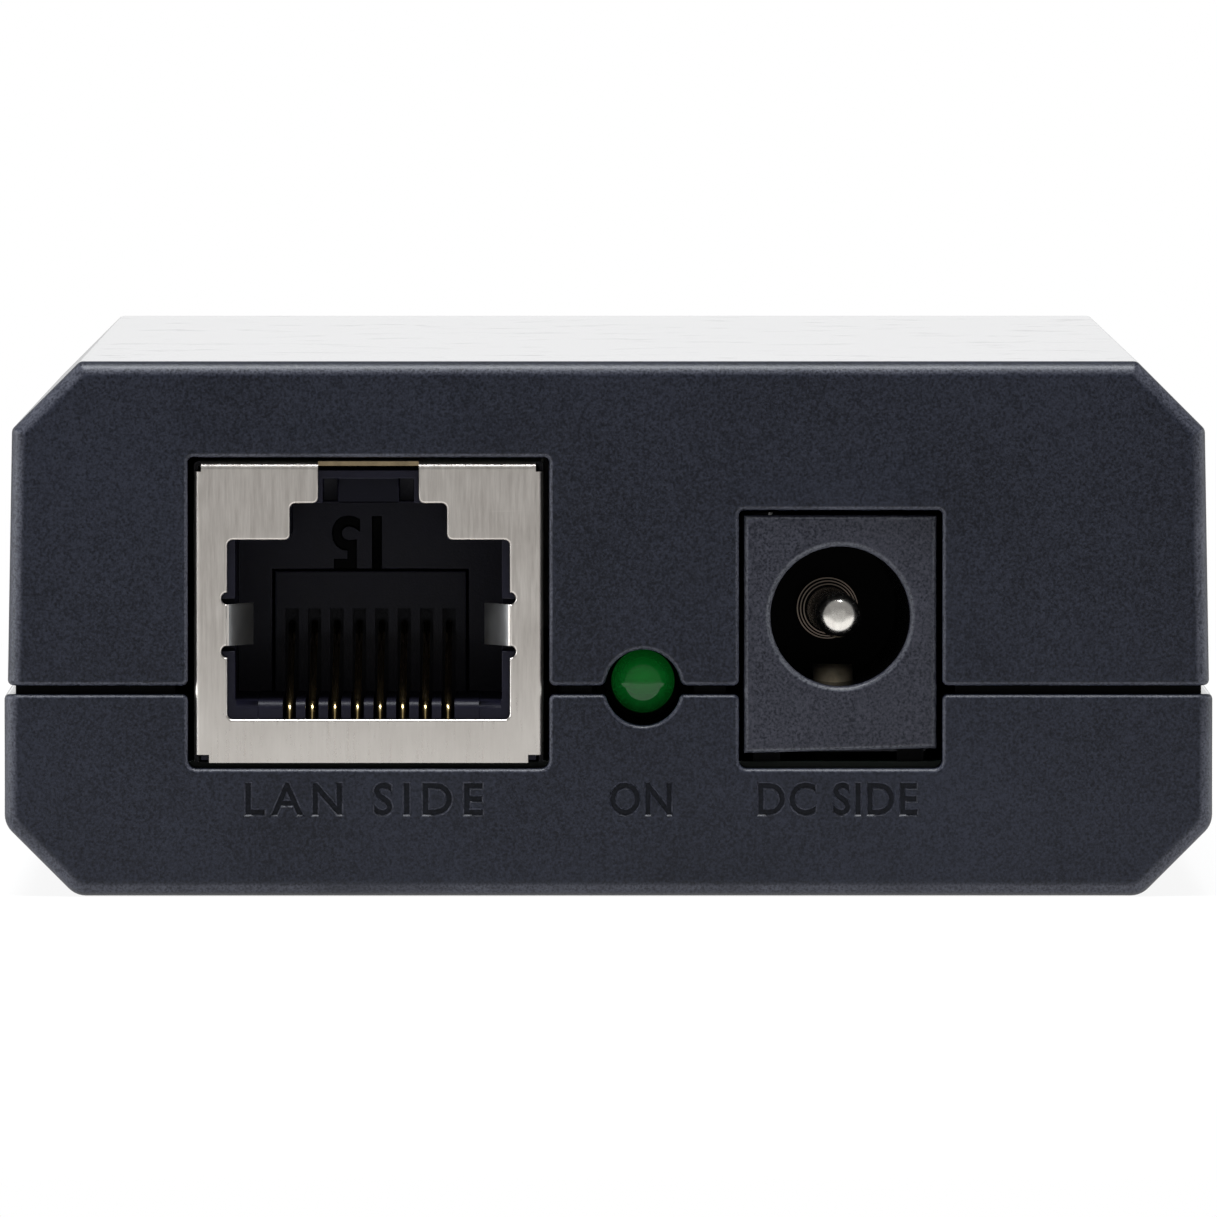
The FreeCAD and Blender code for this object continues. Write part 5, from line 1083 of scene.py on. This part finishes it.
upper = combine(upper, "DIFFERENCE", *[bar(x, y, PILOT_RADIUS, 0, PILOT_TOP, "Z", 32) for x, y in SCREWS])
shade_inside(upper, 0, CEILING, 1)
fit(upper, "upper_case_shell", "shell_plastic", "upper_shell", CASE_PLASTIC, PAINTED_SHADE_PLASTIC)

# Two steel screws with a cross in their heads close the case from below.
SCREW_HEAD, SCREW_HEAD_FOOT, SCREW_CORE, THREAD_DEPTH, THREAD_PITCH = 2.0, 0.5, 0.8, 0.25, 0.95
SCREW_TIP, SHANK_LAP, TAPER_LENGTH, TIP_SHARE = 12.0, 0.1, 1.5, 0.35
HEAD_EDGE = ((0, -0.5), (0.08, -0.22), (0.25, -0.06), (0.5, 0))
CROSS_HALF, CROSS_ARM, CROSS_DEPTH = 1.15, 0.28, 0.95
THREAD_SIDES, THREAD_STEPS = 24, 6
SCREW_STEEL = finish("screw_steel", (0.40, 0.40, 0.41), 0.3, metallic=1.0, tone=0.12)


def screw():
    """A pan head with a cross, and behind it a shank with a coarse thread, along +Y."""
    edge = [(SCREW_HEAD_FOOT + along, SCREW_HEAD + out) for along, out in HEAD_EDGE]
    head = lathe(edge + [(SCREW_SEAT, SCREW_HEAD)], 48)
    arms = [(CROSS_HALF, CROSS_ARM), (CROSS_ARM, CROSS_HALF)]
    head = combine(head, "DIFFERENCE",
                   *[slab(a, 0, SCREW_HEAD_FOOT + CROSS_DEPTH, -b, b) for a, b in arms])
    steps = int((SCREW_TIP - SCREW_SEAT) / THREAD_PITCH * THREAD_STEPS)
    rings = []
    for row in range(steps + 1):
        y = SCREW_SEAT - SHANK_LAP + (SCREW_TIP - SCREW_SEAT + SHANK_LAP) * row / steps
        taper = min(1.0, (SCREW_TIP - y) / TAPER_LENGTH + TIP_SHARE)
        ring = []
        for angle in turns(THREAD_SIDES):
            turn = (y / THREAD_PITCH - angle / (2 * math.pi)) % 1
            radius = (SCREW_CORE + THREAD_DEPTH * max(0.0, 1 - abs(turn - 0.5) * 4)) * taper
            ring.append((radius * math.cos(angle), y, radius * math.sin(angle)))
        rings.append(ring)
    return together([head, skin(rings)])


pair = []
for x, y in SCREWS:
    one = screw()
    one.transform(Matrix.Translation((x, y, 0)) @ Matrix.Rotation(math.pi / 2, 4, "X"))
    pair.append(one)
fit(together(pair), "case_screw_pair", "screw_steel", "case_screws", SCREW_STEEL, smooth=40)
